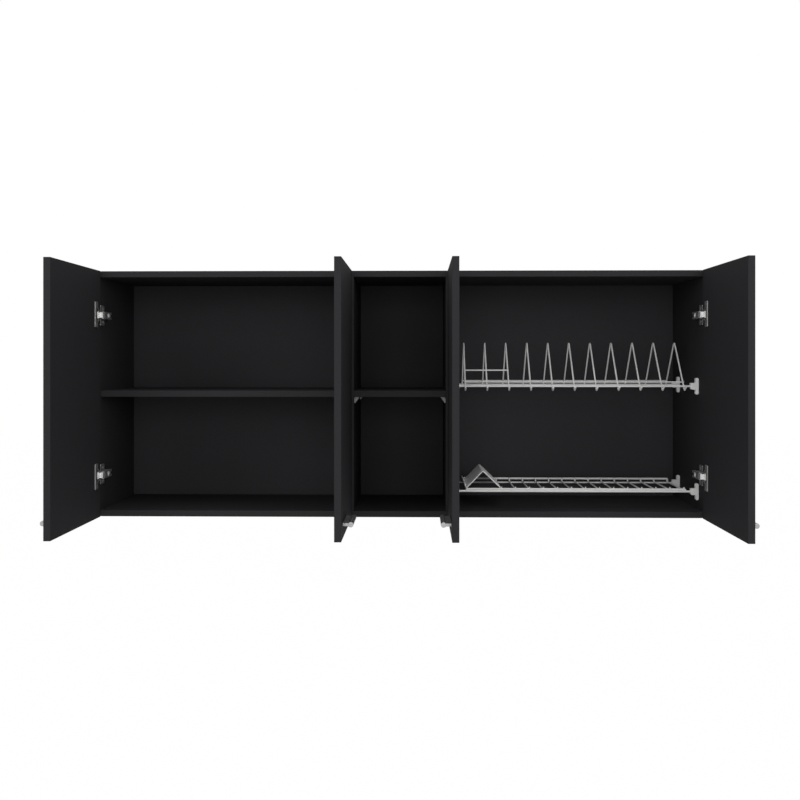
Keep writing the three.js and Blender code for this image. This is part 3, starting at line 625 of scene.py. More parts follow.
def melamine(name, colour):
    """The printed and faintly pearled face of a board."""
    material = new_material(name, colour, roughness=0.7, Specular_IOR_Level=0.02)
    vary_colour(material, noise(material, scale=260), colour, spread=0.05)
    vary_roughness(material, noise(material, scale=40), low=0.66, high=0.74)
    add_bump(material, noise(material, scale=1400), strength=0.25, depth=0.05 * MM)
    return material


def edge_band():
    colour = (0.0265, 0.026, 0.028)
    material = new_material(
        "charcoal edge band", colour, roughness=0.5, Specular_IOR_Level=0.06)
    vary_colour(material, noise(material, scale=300), colour, spread=0.04)
    add_bump(material, noise(material, scale=1200), strength=0.15, depth=0.04 * MM)
    return material


def raw_chipboard():
    colour = (0.32, 0.215, 0.125)
    material = new_material("raw chipboard", colour, roughness=0.85, Specular_IOR_Level=0.2)
    vary_colour(material, noise(material, scale=420, detail=6), colour, spread=0.4)
    add_bump(material, noise(material, scale=500, detail=6), strength=0.6, depth=0.3 * MM)
    return material


def raw_hardboard():
    colour = (0.25, 0.15, 0.08)
    material = new_material("raw hardboard", colour, roughness=0.8, Specular_IOR_Level=0.2)
    vary_colour(material, noise(material, scale=160, detail=8), colour, spread=0.18)
    add_bump(material, noise(material, scale=900, detail=4), strength=0.4, depth=0.1 * MM)
    return material


def brushed(name, colour, roughness, grain, stretch):
    """Metal with fine lines left by brushing along the stretched axis."""
    material = new_material(name, colour, roughness, metallic=1.0)
    lines = noise(material, scale=grain, detail=4, stretch=stretch)
    vary_roughness(material, lines, low=roughness - 0.06, high=roughness + 0.08)
    vary_colour(material, lines, colour, spread=0.06)
    add_bump(material, lines, strength=0.12, depth=0.03 * MM)
    return material


def plated(name, colour, roughness, metallic=1.0):
    """Plated steel, a little uneven in shade and gloss."""
    material = new_material(name, colour, roughness, metallic)
    uneven = noise(material, scale=120)
    vary_roughness(material, uneven, low=roughness - 0.04, high=roughness + 0.06)
    vary_colour(material, noise(material, scale=60), colour, spread=0.03)
    add_bump(material, noise(material, scale=700), strength=0.08, depth=0.02 * MM)
    return material


def coated(name, colour, roughness):
    """Powder coat or moulded plastic with a faint orange peel."""
    material = new_material(name, colour, roughness)
    vary_colour(material, noise(material, scale=90), colour, spread=0.015)
    uneven = noise(material, scale=300)
    vary_roughness(material, uneven, low=roughness - 0.05, high=roughness + 0.05)
    add_bump(material, noise(material, scale=900, detail=2), strength=0.2, depth=0.05 * MM)
    return material


def hatched_coat(name, colour, roughness):
    """Powder coat over a sheet with fine lines rolled into it."""
    material = coated(name, colour, roughness)
    place = add_node(material, "ShaderNodeTexCoord")
    lines = add_node(
        material, "ShaderNodeTexWave", wave_type="BANDS", bands_direction="Z")
    lines.inputs["Scale"].default_value = 110
    lines.inputs["Distortion"].default_value = 0.6
    link(material, place, "Object", lines, "Vector")
    add_bump(material, lines, strength=0.35, depth=0.25 * MM)
    return material


board_face = melamine("charcoal melamine", (0.0305, 0.03, 0.0326))
back_face = melamine("charcoal back panel", (0.041, 0.0404, 0.0438))
board_band = edge_band()
chipboard = raw_chipboard()
hardboard = raw_hardboard()
nickel = plated("nickel plate", (0.3, 0.3, 0.295), roughness=0.42, metallic=0.5)
# Darker nickel as painted shade on hinge faces that turn toward the cabinet's inside
nickel_painted_side_shade = plated(
    "nickel plate, painted side shade", (0.19, 0.19, 0.187), roughness=0.45, metallic=0.5)
# White and not metallic: a painted highlight standing in for the plated link's reflection of the
# front light
nickel_painted_highlight = plated("nickel link with painted highlight", (0.98, 0.98, 0.97), roughness=0.42, metallic=0)
# Dark nickel as painted shade inside the cup, on its pin and on the back of the link's nose
nickel_painted_shade = plated("nickel with painted shade inside the cup", (0.16, 0.16, 0.155), roughness=0.55)
steel_screw = plated("bright zinc", (0.72, 0.73, 0.74), roughness=0.3, metallic=0.9)
pale_zinc = plated("pale zinc", (0.86, 0.86, 0.86), roughness=0.42, metallic=0.3)
zinc = plated("zinc plate", (0.55, 0.56, 0.58), roughness=0.36)
satin_steel = brushed(
    "satin steel", (0.34, 0.34, 0.34), roughness=0.45, grain=900, stretch=(1, 0.04, 1))
white_wire = coated("white powder coat", (0.75, 0.75, 0.74), roughness=0.4)
white_plastic = coated("white plastic", (0.8, 0.8, 0.79), roughness=0.45)
grey_plastic = coated("grey plastic", (0.3, 0.3, 0.31), roughness=0.45)
ridge_coat = hatched_coat("hatched white coat", (0.88, 0.88, 0.87), roughness=0.5)


# Boards


def banded_board(node, raw_rear=True, cutters=()):
    """A faced board on the place of its solid, with a band on its front edge."""
    low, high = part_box(node)
    piece = block(node + "_board", low, high)
    carve(piece, *cutters)
    soften(piece, BOARD_EDGE)
    dress(piece, "carcass", board_face, node)
    paint_faces(piece, board_band, lambda face: face.normal.y < -TOWARD)
    if raw_rear:
        rear = high.y - BOARD_EDGE
        paint_faces(
            piece, chipboard, lambda face: face.normal.y > SQUARE and face.center.y > rear)


def groove_ends(face, way):
    """Where the back panel's groove starts and stops in a board whose face looks one way."""
    return sorted((face - way * PANEL_GROOVE, face + way * CUT_OVERRUN))


def build_carcass():
    for node, way in (("left_side", 1), ("right_side", -1)):
        low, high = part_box(node)
        start, stop = groove_ends(high.x if way > 0 else low.x, way)
        banded_board(node, cutters=[block(
            "groove_cutter",
            (start, GROOVE_FRONT, low.z - CUT_OVERRUN),
            (stop, GROOVE_REAR, high.z + CUT_OVERRUN),
        )])
    for node, way in (("bottom_panel", 1), ("top_panel", -1)):
        low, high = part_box(node)
        start, stop = groove_ends(high.z if way > 0 else low.z, way)
        banded_board(node, cutters=[block(
            "groove_cutter",
            (low.x - CUT_OVERRUN, GROOVE_FRONT, start),
            (high.x + CUT_OVERRUN, GROOVE_REAR, stop),
        )])
    for node in ("left_divider", "right_divider", "left_shelf", "middle_shelf"):
        banded_board(node)
    banded_board("lower_rail", raw_rear=False)

    back = block("back_panel_board", *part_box("back_panel"))
    soften(back, BOARD_EDGE / 2)
    dress(back, "carcass", back_face, "back_panel")
    paint_faces(back, hardboard, lambda face: face.normal.y > TOWARD)


def build_doors():
    """Four doors with a band on every edge and a bore for each hinge cup."""
    for door, hand in DOORS.items():
        node = door + "_door"
        low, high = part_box(node)
        inner = high.x if hand > 0 else low.x
        bores = []
        for level in LEVELS:
            cup_low, cup_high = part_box(f"{door}_{level}_hinge_cup")
            y = cup_high.y - BORE_RADIUS + FIT
            z = (cup_low.z + cup_high.z) / 2
            bores.append(round_bar(
                "bore_cutter",
                (inner - hand * BORE_DEPTH, y, z),
                (inner + hand * CUT_OVERRUN, y, z),
                BORE_RADIUS,
                BORE_SIDES,
            ))
        piece = block(node + "_board", low, high)
        carve(piece, *bores)
        soften(piece, BOARD_EDGE)
        dress(piece, door + "_leaf", board_face, node)
        paint_faces(piece, board_band, lambda face: abs(face.normal.x) < TOWARD)


# Handles and hinges


def build_handle():
    """A round bar along Y with a flat web that joins it to the door at +X."""
    low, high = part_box("left_outer_handle")
    half = (high.y - low.y) / 2
    bar = round_bar("handle", (0, -half, 0), (0, half, 0), HANDLE_RADIUS, HANDLE_SIDES)
    soften(bar, HANDLE_END, segments=3, angle=60)
    web = block(
        "web",
        (0, HANDLE_WEB_SHORT - half, -HANDLE_WEB / 2),
        (HANDLE_OFF - HANDLE_WEB_GAP, half - HANDLE_WEB_SHORT, HANDLE_WEB / 2),
    )
    soften(web, HANDLE_WEB_EDGE)
    weld(bar, web)
    return smooth(bar)


def hinge_pin(centre, half, material):
    rise = Vector((0, 0, half))
    pin = round_bar("pin", centre - rise, centre + rise, PIN_RADIUS, PIN_SIDES)
    return coat(smooth(pin), material)


def screw_out_of_wall(pattern, place, shape=(1, 1, 1, 1)):
    """A copy of a screw head, turned to look along +X."""
    turn = Matrix.Rotation(QUARTER_TURN, 4, "Y")
    return copy_of(pattern, "screw", Matrix.Translation(place) @ turn @ Matrix.Diagonal(shape))


def build_hinge_cup():
    """The drawn cup in the door with its flange, two screws and the pin of the link."""
    bowl = turned("bowl", [(h * MM, r * MM) for h, r in BOWL_RINGS], CUP_SIDES)
    floor = CUP_CENTRE - Vector((CUP_DEPTH, 0, 0))
    bowl.data.transform(Matrix.Translation(floor) @ Matrix.Rotation(QUARTER_TURN, 4, "Y"))
    flange = block("hinge_cup", FLANGE_LOW, FLANGE_HIGH)
    round_edges_along(flange, X, FLANGE_CORNER, segments=8)
    soften(flange, FLANGE_EDGE, segments=4, angle=50)
    reach = Vector((CUT_OVERRUN, 0, 0))
    carve(flange, round_bar(
        "mouth_cutter", CUP_CENTRE - reach, CUP_CENTRE + reach, CUP_INSIDE, CUP_SIDES))
    weld(flange, bowl)
    smooth(flange)
    coat(flange, nickel)
    # Painted shade: the flange's faces toward the cabinet's inside are coated darker
    paint_faces(flange, nickel_painted_side_shade, lambda face: face.normal.x > NEARLY_SQUARE)
    # Painted shade inside the bowl, and on the pin that sits there
    inside = CUP_INSIDE + SHADE_PAST_INSIDE
    paint_faces(flange, nickel_painted_shade, lambda face: (
        math.hypot(face.center.y - CUP_CENTRE.y, face.center.z) < inside
        and face.center.x < FLANGE_LOW.x))
    pin_half = math.sqrt(CUP_INSIDE ** 2 - (CUP_PIN.y - CUP_CENTRE.y) ** 2) + PIN_SUNK
    pin = hinge_pin(CUP_PIN, pin_half, nickel_painted_shade)
    screw_x = FLANGE_HIGH.x - FLANGE_SCREW_SUNK
    screw_y = (FLANGE_LOW.y + FLANGE_HIGH.y) / 2
    screws = [
        coat(screw_out_of_wall(flange_screw, (screw_x, screw_y, z)), nickel)
        for z in (-FLANGE_SCREW_RISE, FLANGE_SCREW_RISE)
    ]
    return gather("hinge_cup", [flange, pin, *screws])


def build_hinge_link():
    """A curved strip with a nose and a shoulder at the arm's pin, and ears at the cup's."""
    run = CUP_PIN - ARM_PIN
    radius = (run.length ** 2 / 4 + LINK_BULGE ** 2) / (2 * LINK_BULGE)
    along = run.normalized()
    bulge_way = Vector((-along.y, along.x, 0))
    centre = (ARM_PIN + CUP_PIN) / 2 + bulge_way * (LINK_BULGE - radius)
    outward = (ARM_PIN - centre).normalized()
    turn = outward.angle((CUP_PIN - centre).normalized())
    flat_ring(ARM_PIN, outward, Vector((0, 0, 1)), LINK_THICKNESS, 2 * LINK_HALF)
    bpy.ops.mesh.spin(steps=16, angle=turn, center=centre, axis=(0, 0, 1))
    strip = close_ends("hinge_link")
    nose = Vector((0, 0, LINK_HALF))
    shoulder = nose * LINK_SHOULDER_SHARE
    ear = Vector((0, 0, LINK_EAR_HALF))
    weld(
        strip,
        round_bar("nose", ARM_PIN - nose, ARM_PIN + nose, LINK_NOSE_RADIUS, sides=48),
        round_bar(
            "shoulder", LINK_SHOULDER - shoulder, LINK_SHOULDER + shoulder,
            LINK_SHOULDER_RADIUS, sides=40),
        round_bar("ear", CUP_PIN - ear, CUP_PIN + ear, LINK_EYE_RADIUS),
    )
    soften(strip, SHEET_EDGE, angle=50)
    for pin in (ARM_PIN, CUP_PIN):
        carve(strip, round_bar("bore_cutter", pin - nose * 2, pin + nose * 2, PIN_RADIUS + FIT))
    # The link is coated white as a painted highlight
    coat(smooth(strip), nickel_painted_highlight)
    # Painted shade on the back of the link's nose
    paint_faces(strip, nickel_painted_shade, lambda face: (
        face.center.x > LINK_SHADE_PAST_X and face.center.y > LINK_SHADE_PAST_Y))
    return strip


def build_wing():
    """The plate that is screwed to the cabinet wall, with its front edge folded into a rib."""
    wing = block("wing", WING_LOW, WING_HIGH)
    round_edges_along(wing, X, WING_CORNER, segments=8)
    soften(wing, SHEET_EDGE, angle=50)
    rib = block("rib", RIB_LOW, RIB_HIGH)
    round_edges_along(rib, X, RIB_CORNER, segments=4)
    soften(rib, SHEET_EDGE, angle=50)
    return weld(wing, rib)


def build_hinge_arm():
    """A folded channel on its pedestal and wing plate, with its pin and screws."""
    channel = block("hinge_arm", ARM_LOW, ARM_HIGH)
    round_edges_along(
        channel, Z, ARM_NOSE_RADIUS, segments=8, chosen=lambda middle: middle.y < 0)
    room = ARM_HIGH.z - ARM_CHEEK
    web_under = ARM_HIGH.x - ARM_WEB
    slot_low, slot_high = web_under - SHALLOW_OVERRUN, ARM_HIGH.x + SHALLOW_OVERRUN
    start, stop = ARM_LOW.y - CUT_OVERRUN, ARM_HIGH.y + CUT_OVERRUN
    carve(
        channel,
        block("trough_cutter", (0, start, -room), (web_under, stop, room)),
        block(
            "mouth_cutter", (0, start, -room),
            (ARM_HIGH.x + CUT_OVERRUN, ARM_MOUTH_END, room)),
        round_bar(
            "slot_cutter", (slot_low, ARM_SLOT_START, 0), (slot_high, ARM_SLOT_START, 0),
            ARM_SLOT_RADIUS),
        block(
            "slot_cutter", (slot_low, ARM_SLOT_START, -ARM_SLOT_RADIUS),
            (slot_high, stop, ARM_SLOT_RADIUS)),
    )
    soften(channel, ARM_EDGE, angle=50)
    wing = build_wing()
    pedestal = block(
        "pedestal", (WING_LOW.x, PEDESTAL_START, ARM_LOW.z),
        (ARM_LOW.x + PEDESTAL_OVERLAP, PEDESTAL_END, ARM_HIGH.z))
    round_edges_along(pedestal, X, PEDESTAL_CORNER, segments=4)
    weld(channel, wing, pedestal)
    smooth(channel)
    coat(channel, nickel)
    # Painted shade: the arm's faces toward the cabinet's inside are coated darker
    paint_faces(channel, nickel_painted_side_shade, lambda face: face.normal.x > NEARLY_SQUARE)
    # A painted highlight on the front-facing strip of the wing and its rib, above and below the
    # arm
    paint_faces(channel, nickel_painted_highlight, lambda face: (
        face.normal.y < -MORE_TOWARD and abs(face.center.z) > ARM_HIGH.z))
    pin = hinge_pin(ARM_PIN, ARM_HIGH.z - ARM_PIN_SHORT, steel_screw)
    fixing = screw_out_of_wall(arm_screw, (ARM_HIGH.x - SCREW_SINK, ARM_SCREW_IN, 0))
    clamp_place = (ARM_HIGH.x - CLAMP_SCREW_SUNK, ARM_SLOT_START + CLAMP_SCREW_IN, 0)
    clamp = coat(screw_out_of_wall(flange_screw, clamp_place, CLAMP_SCREW_SHAPE), nickel)
    wall_screws = [
        screw_out_of_wall(wing_screw, (WING_HIGH.x - SCREW_SINK, WING_SCREW_IN, z))
        for z in (-WING_SCREW_RISE, WING_SCREW_RISE)
    ]
    return gather("hinge_arm", [channel, pin, fixing, clamp, *wall_screws])


def place_for_hand(spot, hand):
    """Where a piece modelled for a door of hand 1 goes, turned over for the other hand."""
    place = Matrix.Translation(spot)
    return place if hand > 0 else place @ Matrix.Rotation(HALF_TURN, 4, "Y")


def hang_doors():
    """Copies the handle and the hinge's three pieces to every door."""
    for door, hand in DOORS.items():
        leaf = door + "_leaf"
        low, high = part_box(door + "_handle")
        bar_x = low.x + HANDLE_RADIUS if hand > 0 else high.x - HANDLE_RADIUS
        place = place_for_hand((bar_x, (low.y + high.y) / 2, (low.z + high.z) / 2), hand)
        bar = copy_of(handle, door + "_bar", place)
        dress(bar, leaf, satin_steel, door + "_handle")
        for level in LEVELS:
            hinge = f"{door}_{level}_hinge"
            low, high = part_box(hinge + "_arm")
            wall = low.x - FIT if hand > 0 else high.x + FIT
            place = place_for_hand((wall, FRONT, (low.z + high.z) / 2), hand)
            for pattern, ending, body, node_ending in (
                (hinge_cup, "_pressed_cup", leaf, "_cup"),
                (hinge_link, "_rolled_link", door + "_links", "_link"),
                (hinge_arm, "_folded_arm", "carcass", "_arm"),
            ):
                piece = copy_of(pattern, hinge + ending, place)
                dress(piece, body, None, hinge + node_ending)


# Racks, their brackets and the ridge


def rack_point(x, inward, height):
    return Vector((x, FRONT + inward, BASE + height))


def build_bracket(rail_radius):
    """A wall plate with a lobe that holds the end of a rail in a blind socket."""
    half = BRACKET_DEPTH / 2
    reach = BRACKET_THICKNESS + SOCKET_LENGTH
    plate = block(
        "bracket", (-BRACKET_THICKNESS, -half, -BRACKET_HEIGHT / 2),
        (0, half, BRACKET_HEIGHT / 2))
    round_edges_along(plate, Y, BRACKET_CORNER, segments=6)
    lobe = block(
        "lobe", (-reach, -half, -SOCKET_HEIGHT / 2),
        (-BRACKET_THICKNESS / 2, half, SOCKET_HEIGHT / 2))
    round_edges_along(
        lobe, Y, SOCKET_CORNER, segments=6,
        chosen=lambda middle: middle.x < -BRACKET_THICKNESS and middle.z < 0)
    round_edges_along(
        lobe, Y, SOCKET_TOP_CORNER, segments=3,
        chosen=lambda middle: middle.x < MM - reach and middle.z > SOCKET_HEIGHT / 4)
    weld(plate, lobe)
    soften(plate, BRACKET_EDGE, segments=4, angle=50)
    carve(plate, round_bar(
        "socket_cutter", (-reach - CUT_OVERRUN, 0, 0), (SOCKET_REACH - reach, 0, 0),
        rail_radius + FIT))
    return smooth(plate)


def place_brackets():
    for rack, end, radius in (
        ("plate_rack", "front", PLATE_RAIL_RADIUS),
        ("plate_rack", "rear", PLATE_RAIL_RADIUS),
        ("cup_rack", "front", CUP_RAIL_RADIUS),
        ("cup_rack", "rear", CUP_REAR_RAIL_RADIUS),
    ):
        pattern = build_bracket(radius)
        for side in ("left", "right"):
            node = f"{rack}_bracket_{side}_{end}"
            low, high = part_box(node)
            wall = low.x if side == "left" else high.x
            place = Matrix.Translation((wall, (low.y + high.y) / 2, (low.z + high.z) / 2))
            if side == "left":
                place = place @ Matrix.Rotation(HALF_TURN, 4, "Z")
            moulding = copy_of(pattern, node + "_moulding", place)
            dress(moulding, "carcass", white_plastic, node)
        put_away(pattern)


def hoop_leg(rail_in):
    """Where a leg passes behind its rail, and how far it leans for each unit of rise."""
    steepest = (HOOP_APEX_IN - rail_in) / HOOP_APEX_RISE
    apart = (HOOP_RADIUS + PLATE_RAIL_RADIUS - WELD_SINK) * math.hypot(1, steepest)
    at_rail = rail_in + apart
    return at_rail, (HOOP_APEX_IN - at_rail) / HOOP_APEX_RISE


def repeated(wire, places):
    """A wire made at the first of some places along X, and its copies at the others."""
    steps = [Matrix.Translation((x - places[0], 0, 0)) for x in places[1:]]
    name = wire.name
    return [wire] + [copy_of(wire, name, step) for step in steps]


def build_plate_rack():
    """Two rails, a row of hoops with hooked toes, and the long wires that tie them."""
    low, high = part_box("plate_rack")
    wires = []
    for rail_in in (FRONT_RAIL_IN, REAR_RAIL_IN):
        ends = [rack_point(x, rail_in, PLATE_RAIL_HEIGHT) for x in (low.x, high.x)]
        wires.append(bent_wire("rail", ends, PLATE_RAIL_RADIUS, sides=RAIL_SIDES))
    front_at, front_lean = hoop_leg(FRONT_RAIL_IN)
    rear_at, rear_lean = hoop_leg(REAR_RAIL_IN)
    toe_in = front_at - front_lean * HOOP_TOE_DROP
    toe_height = PLATE_RAIL_HEIGHT - HOOP_TOE_DROP
    places = even_places(DIVIDER_FACE + HOOP_END_IN, SIDE_FACE - HOOP_END_IN, HOOP_PITCH)
    hoop = bent_wire("hoop", [
        rack_point(places[0], toe_in - HOOP_HOOK_REACH, toe_height + HOOP_HOOK_RISE),
        rack_point(places[0], toe_in, toe_height),
        rack_point(places[0], HOOP_APEX_IN, PLATE_RAIL_HEIGHT + HOOP_APEX_RISE),
        rack_point(
            places[0], rear_at - rear_lean * HOOP_HEEL_DROP, PLATE_RAIL_HEIGHT - HOOP_HEEL_DROP),
    ], HOOP_RADIUS, (HOOP_TOE_BEND, HOOP_BEND))
    wires += repeated(hoop, places)
    for at_rail, lean, rise, count in (
        (front_at, front_lean, PLATE_WIRE_RISE, len(places)),
        (rear_at, rear_lean, PLATE_WIRE_RISE, len(places)),
        (front_at, front_lean, SHORT_WIRE_RISE, SHORT_WIRE_HOOPS),
    ):
        apart = (HOOP_RADIUS + PLATE_WIRE_RADIUS - WELD_SINK) * math.hypot(1, lean)
        inward = at_rail + lean * rise - math.copysign(apart, lean)
        start, stop = places[0] - PLATE_WIRE_PAST_HOOP, places[count - 1] + PLATE_WIRE_PAST_HOOP
        ends = [rack_point(x, inward, PLATE_RAIL_HEIGHT + rise) for x in (start, stop)]
        wires.append(bent_wire("long_wire", ends, PLATE_WIRE_RADIUS))
    rack = smooth(gather("plate_rack_wires", wires), angle=45)
    dress(rack, "carcass", white_wire, "plate_rack")


def build_cup_rack():
    """Two rails with a bent wire over each, and cross wires with upright tips."""
    low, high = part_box("cup_rack")
    wires = []
    for rail_in, radius, rise in (
        (FRONT_RAIL_IN, CUP_RAIL_RADIUS, CUP_UPPER_FRONT_RISE),
        (REAR_RAIL_IN, CUP_REAR_RAIL_RADIUS, CUP_UPPER_REAR_RISE),
    ):
        ends = [rack_point(x, rail_in, CUP_RAIL_HEIGHT) for x in (low.x, high.x)]
        wires.append(bent_wire("rail", ends, radius, sides=RAIL_SIDES))
        start, stop = DIVIDER_FACE + CUP_UPPER_START_IN, SIDE_FACE - CUP_UPPER_END_IN
        upper = CUP_RAIL_HEIGHT + rise
        wires.append(bent_wire("upper_rail_wire", [
            rack_point(start, rail_in, CUP_RAIL_HEIGHT),
            rack_point(start, rail_in, upper),
            rack_point(stop, rail_in, upper),
            rack_point(stop, rail_in, CUP_RAIL_HEIGHT),
        ], CUP_UPPER_RADIUS, (CUP_UPPER_BEND, CUP_UPPER_BEND), RAIL_SIDES))
    setback = CUP_UPPER_RADIUS + CROSS_RADIUS - WELD_SINK
    front_in, rear_in = FRONT_RAIL_IN + setback, REAR_RAIL_IN - setback
    places = [DIVIDER_FACE + RIDGE_VALLEY_IN]
    places += even_places(
        DIVIDER_FACE + CROSS_FIRST_IN, SIDE_FACE - CROSS_LAST_IN, CROSS_PITCH)
    cross = bent_wire("cross_wire", [
        rack_point(places[0], front_in, CUP_RAIL_HEIGHT + CROSS_TIP_RISE),
        rack_point(places[0], front_in, CUP_RAIL_HEIGHT + CROSS_RISE),
        rack_point(places[0], rear_in, CUP_RAIL_HEIGHT + CROSS_RISE),
        rack_point(places[0], rear_in, CUP_RAIL_HEIGHT + CROSS_REAR_TIP_RISE),
    ], CROSS_RADIUS, (CROSS_BEND, CROSS_BEND))
    wires += repeated(cross, places)
    rack = smooth(gather("cup_rack_wires", wires), angle=45)
    dress(rack, "carcass", white_wire, "cup_rack")


def build_ridge():
    """A sheet folded up from the rack in a ridge, with a lip at its left edge."""
    low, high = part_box("cup_rack_ridge")
    middle = (low.y + high.y) / 2 - FRONT
    seat = CUP_RAIL_HEIGHT + CROSS_RISE + CROSS_RADIUS + FIT + RIDGE_THICKNESS / 2
    corners = [rack_point(DIVIDER_FACE + x, middle, height) for x, height in (
        (RIDGE_LIP_IN, CUP_RAIL_HEIGHT + RIDGE_LIP_RISE),
        (RIDGE_VALLEY_IN, seat),
        (RIDGE_PEAK_IN, CUP_RAIL_HEIGHT + RIDGE_PEAK_RISE),
        (CROSS_FIRST_IN - RIDGE_END_SHORT, seat),
    )]
    runs = [b - a for a, b in zip(corners, corners[1:])]
    bends = [RIDGE_CORNER / math.tan(a.angle(b) / 2) for a, b in zip(runs, runs[1:])]
    way = runs[0].normalized()
    along = Vector((0, 1, 0))
    flat_ring(corners[0], along.cross(way), along, RIDGE_THICKNESS, high.y - low.y)
    sheet = draw_ring_along("ridge_sheet", corners, bends, steps=8)
    soften(sheet, RIDGE_EDGE, segments=3, angle=50)
    dress(smooth(sheet), "carcass", ridge_coat, "cup_rack_ridge")


# Hanging rail, keyhole plates and shelf brackets


def build_keyhole_plate(node, centre_z):
    """A plate with a keyhole slot between two screws, each in its own seat."""
    low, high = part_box(node)
    x = (low.x + high.x) / 2
    plate = block(node + "_plate", low, high)
    round_edges_along(plate, Y, HANGER_CORNER, segments=8)
    soften(plate, SHEET_EDGE, angle=50)
    front, rear = low.y - CUT_OVERRUN, high.y + CUT_OVERRUN
    slot_top = centre_z + KEYHOLE_RISE
    seat_floor = high.y - HANGER_SEAT_DEPTH
    screw_places = (x - HANGER_SCREW_SIDEWAYS, x + HANGER_SCREW_SIDEWAYS)
    carve(
        plate,
        round_bar(
            "keyhole_cutter", (x, front, centre_z), (x, rear, centre_z), KEYHOLE_RADIUS,
            sides=48),
        round_bar(
            "keyhole_cutter", (x, front, slot_top), (x, rear, slot_top), KEYHOLE_SLOT_RADIUS),
        block(
            "keyhole_cutter", (x - KEYHOLE_SLOT_RADIUS, front, centre_z),
            (x + KEYHOLE_SLOT_RADIUS, rear, slot_top)),
        *[round_bar(
            "seat_cutter", (at, seat_floor, centre_z), (at, rear, centre_z), HANGER_SEAT_RADIUS)
          for at in screw_places],
    )
    smooth(plate)
    coat(plate, zinc)
    shape = (
        Matrix.Rotation(-QUARTER_TURN, 4, "X") @ Matrix.Scale(HANGER_SCREW_SHARE, 4))
    screws = [
        copy_of(flange_screw, "screw", Matrix.Translation(
            (at, high.y - HANGER_SCREW_SUNK, centre_z)) @ shape)
        for at in screw_places
    ]
    whole = gather(node + "_plate", [plate, *screws])
    dress(whole, "carcass", None, node)


def build_hangers():
    """The hanging rail, with a pocket behind each keyhole plate, and the plates."""
    low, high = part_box("upper_rail")
    rail = block("upper_rail_board", low, high)
    centre_z = (low.z + high.z) / 2
    room = Vector((FIT, 0, FIT))
    for node in ("left_hanger", "right_hanger"):
        plate_low, plate_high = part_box(node)
        x = (plate_low.x + plate_high.x) / 2
        carve(
            rail,
            block(
                "pocket_cutter", plate_low - room - Vector((0, FIT, 0)),
                plate_high + room + Vector((0, CUT_OVERRUN, 0))),
            block(
                "pocket_cutter",
                (x - POCKET_HALF, high.y - POCKET_DEPTH, centre_z - POCKET_HALF),
                (x + POCKET_HALF, high.y + CUT_OVERRUN, centre_z + POCKET_RISE)),
        )
        build_keyhole_plate(node, centre_z)
    soften(rail, BOARD_EDGE)
    dress(rail, "carcass", board_face, "upper_rail")


def build_shelf_brackets():
    """Four corner brackets: a plate on the wall, one under the shelf and a web between."""
    for side, hand in (("left", -1), ("right", 1)):
        for end in ("front", "rear"):
            node = f"middle_shelf_bracket_{side}_{end}"
            low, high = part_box(node)
            wall, inner = (high.x, low.x) if hand > 0 else (low.x, high.x)
            middle = (low.y + high.y) / 2
            roof_under = high.z - GUSSET_PLATE
            upright = block(node + "_moulding", *sorted_corners(
                (wall, low.y, low.z), (wall - hand * GUSSET_PLATE, high.y, high.z)))
            roof = block("roof", (low.x, low.y, roof_under), (high.x, high.y, high.z))
            web = block(
                "web", (low.x, middle - GUSSET_WEB / 2, low.z),
                (high.x, middle + GUSSET_WEB / 2, high.z))
            slope = Vector((
                -hand * (high.z - GUSSET_PLATE - low.z), 0, -(high.x - low.x - GUSSET_PLATE)))
            trim(web, (inner, middle, roof_under), slope)
            weld(upright, roof, web)
            soften(upright, GUSSET_EDGE, angle=50)
            dress(smooth(upright), "carcass", grey_plastic, node)


build_carcass()
build_doors()
flange_screw = coat(screw_head(radius=3.9 * MM, height=1.3 * MM), steel_screw)
wing_screw = coat(screw_head(radius=3.6 * MM, height=1.2 * MM), nickel)
arm_screw = coat(screw_head(radius=5.8 * MM, height=1 * MM), pale_zinc)
handle = build_handle()
hinge_cup = build_hinge_cup()
hinge_link = build_hinge_link()
hinge_arm = build_hinge_arm()
hang_doors()
place_brackets()
build_plate_rack()
build_cup_rack()
build_ridge()
build_hangers()
build_shelf_brackets()
put_away(flange_screw, wing_screw, arm_screw, handle, hinge_cup, hinge_link, hinge_arm)


# Camera, floor, lamps and surroundings


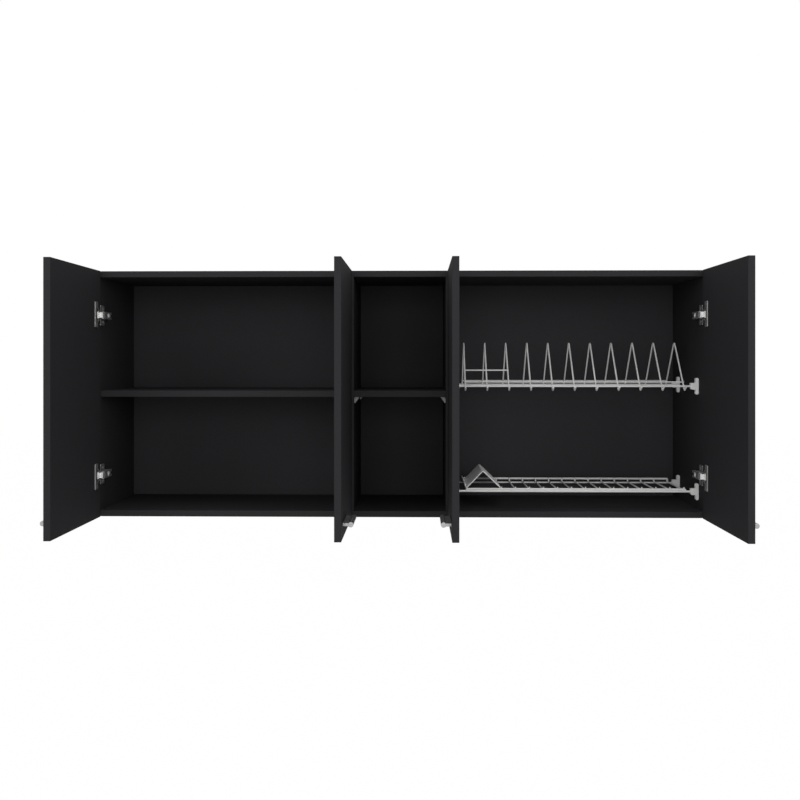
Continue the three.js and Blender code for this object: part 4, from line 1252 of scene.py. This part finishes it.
def white_background(tree, lit, output, share):
    """The camera, and what mirrors and glass show, see white; other rays see the lit surface."""
    rays = tree.nodes.new("ShaderNodeLightPath")
    either = tree.nodes.new("ShaderNodeMath")
    either.operation = "MAXIMUM"
    any_ray = tree.nodes.new("ShaderNodeMath")
    any_ray.operation = "MAXIMUM"
    tree.links.new(rays.outputs["Is Camera Ray"], either.inputs[0])
    tree.links.new(rays.outputs["Is Glossy Ray"], either.inputs[1])
    tree.links.new(either.outputs[0], any_ray.inputs[0])
    tree.links.new(rays.outputs["Is Transmission Ray"], any_ray.inputs[1])
    part = tree.nodes.new("ShaderNodeMath")
    part.operation = "MULTIPLY"
    part.inputs[1].default_value = share
    tree.links.new(any_ray.outputs[0], part.inputs[0])
    white = tree.nodes.new("ShaderNodeEmission" if share < 1 else "ShaderNodeBackground")
    white.inputs["Color"].default_value = (1, 1, 1, 1)
    white.inputs["Strength"].default_value = 1
    mix = tree.nodes.new("ShaderNodeMixShader")
    tree.links.new(part.outputs[0], mix.inputs[0])
    tree.links.new(lit, mix.inputs[1])
    tree.links.new(white.outputs[0], mix.inputs[2])
    tree.links.new(mix.outputs[0], output)


def build_camera():
    bpy.ops.object.select_all(action="DESELECT")
    place = (CAMERA_RIGHT, FRONT - CAMERA_DISTANCE, BASE + CAMERA_HEIGHT)
    bpy.ops.object.camera_add(location=place, rotation=(QUARTER_TURN, 0, CAMERA_TURN))
    camera = bpy.context.object
    camera.name = "camera"
    camera.data.sensor_width = SENSOR
    camera.data.lens = SENSOR * FOCAL_PIXELS / IMAGE_SIDE
    camera.data.shift_y = (HORIZON_ROW - IMAGE_SIDE / 2) / IMAGE_SIDE
    bpy.context.scene.camera = camera


def build_floor():
    """A plain floor that keeps the cabinet's shadow and looks white to the camera."""
    bpy.ops.mesh.primitive_plane_add(size=FLOOR_SIDE, location=(0, 0, BASE - FLOOR_DROP))
    floor = bpy.context.object
    floor.name = "floor"
    paper = bpy.data.materials.new("pale floor")
    paper.use_nodes = True
    tree = paper.node_tree
    shader = shader_of(paper)
    shader.inputs["Base Color"].default_value = (FLOOR_GREY, FLOOR_GREY, FLOOR_GREY, 1)
    shader.inputs["Roughness"].default_value = FLOOR_ROUGHNESS
    surface = tree.nodes["Material Output"].inputs["Surface"]
    white_background(tree, shader.outputs[0], surface, FLOOR_WHITE_SHARE)
    floor.data.materials.append(paper)


def build_light():
    world = bpy.data.worlds.new("studio")
    world.use_nodes = True
    bpy.context.scene.world = world
    tree = world.node_tree
    ambient = tree.nodes["Background"]
    ambient.inputs["Color"].default_value = (1, 1, 1, 1)
    ambient.inputs["Strength"].default_value = AMBIENT
    white_background(tree, ambient.outputs[0], tree.nodes["World Output"].inputs["Surface"], 1)
    for name, (place, aim, side, power) in LAMPS.items():
        bpy.ops.object.light_add(type="AREA", location=place)
        lamp = bpy.context.object
        lamp.name = name
        lamp.data.size = side
        lamp.data.energy = power
        way = Vector(aim) - Vector(place)
        lamp.rotation_euler = way.to_track_quat("-Z", "Y").to_euler()


build_camera()
build_floor()
build_light()
bpy.context.scene.view_settings.view_transform = "Standard"
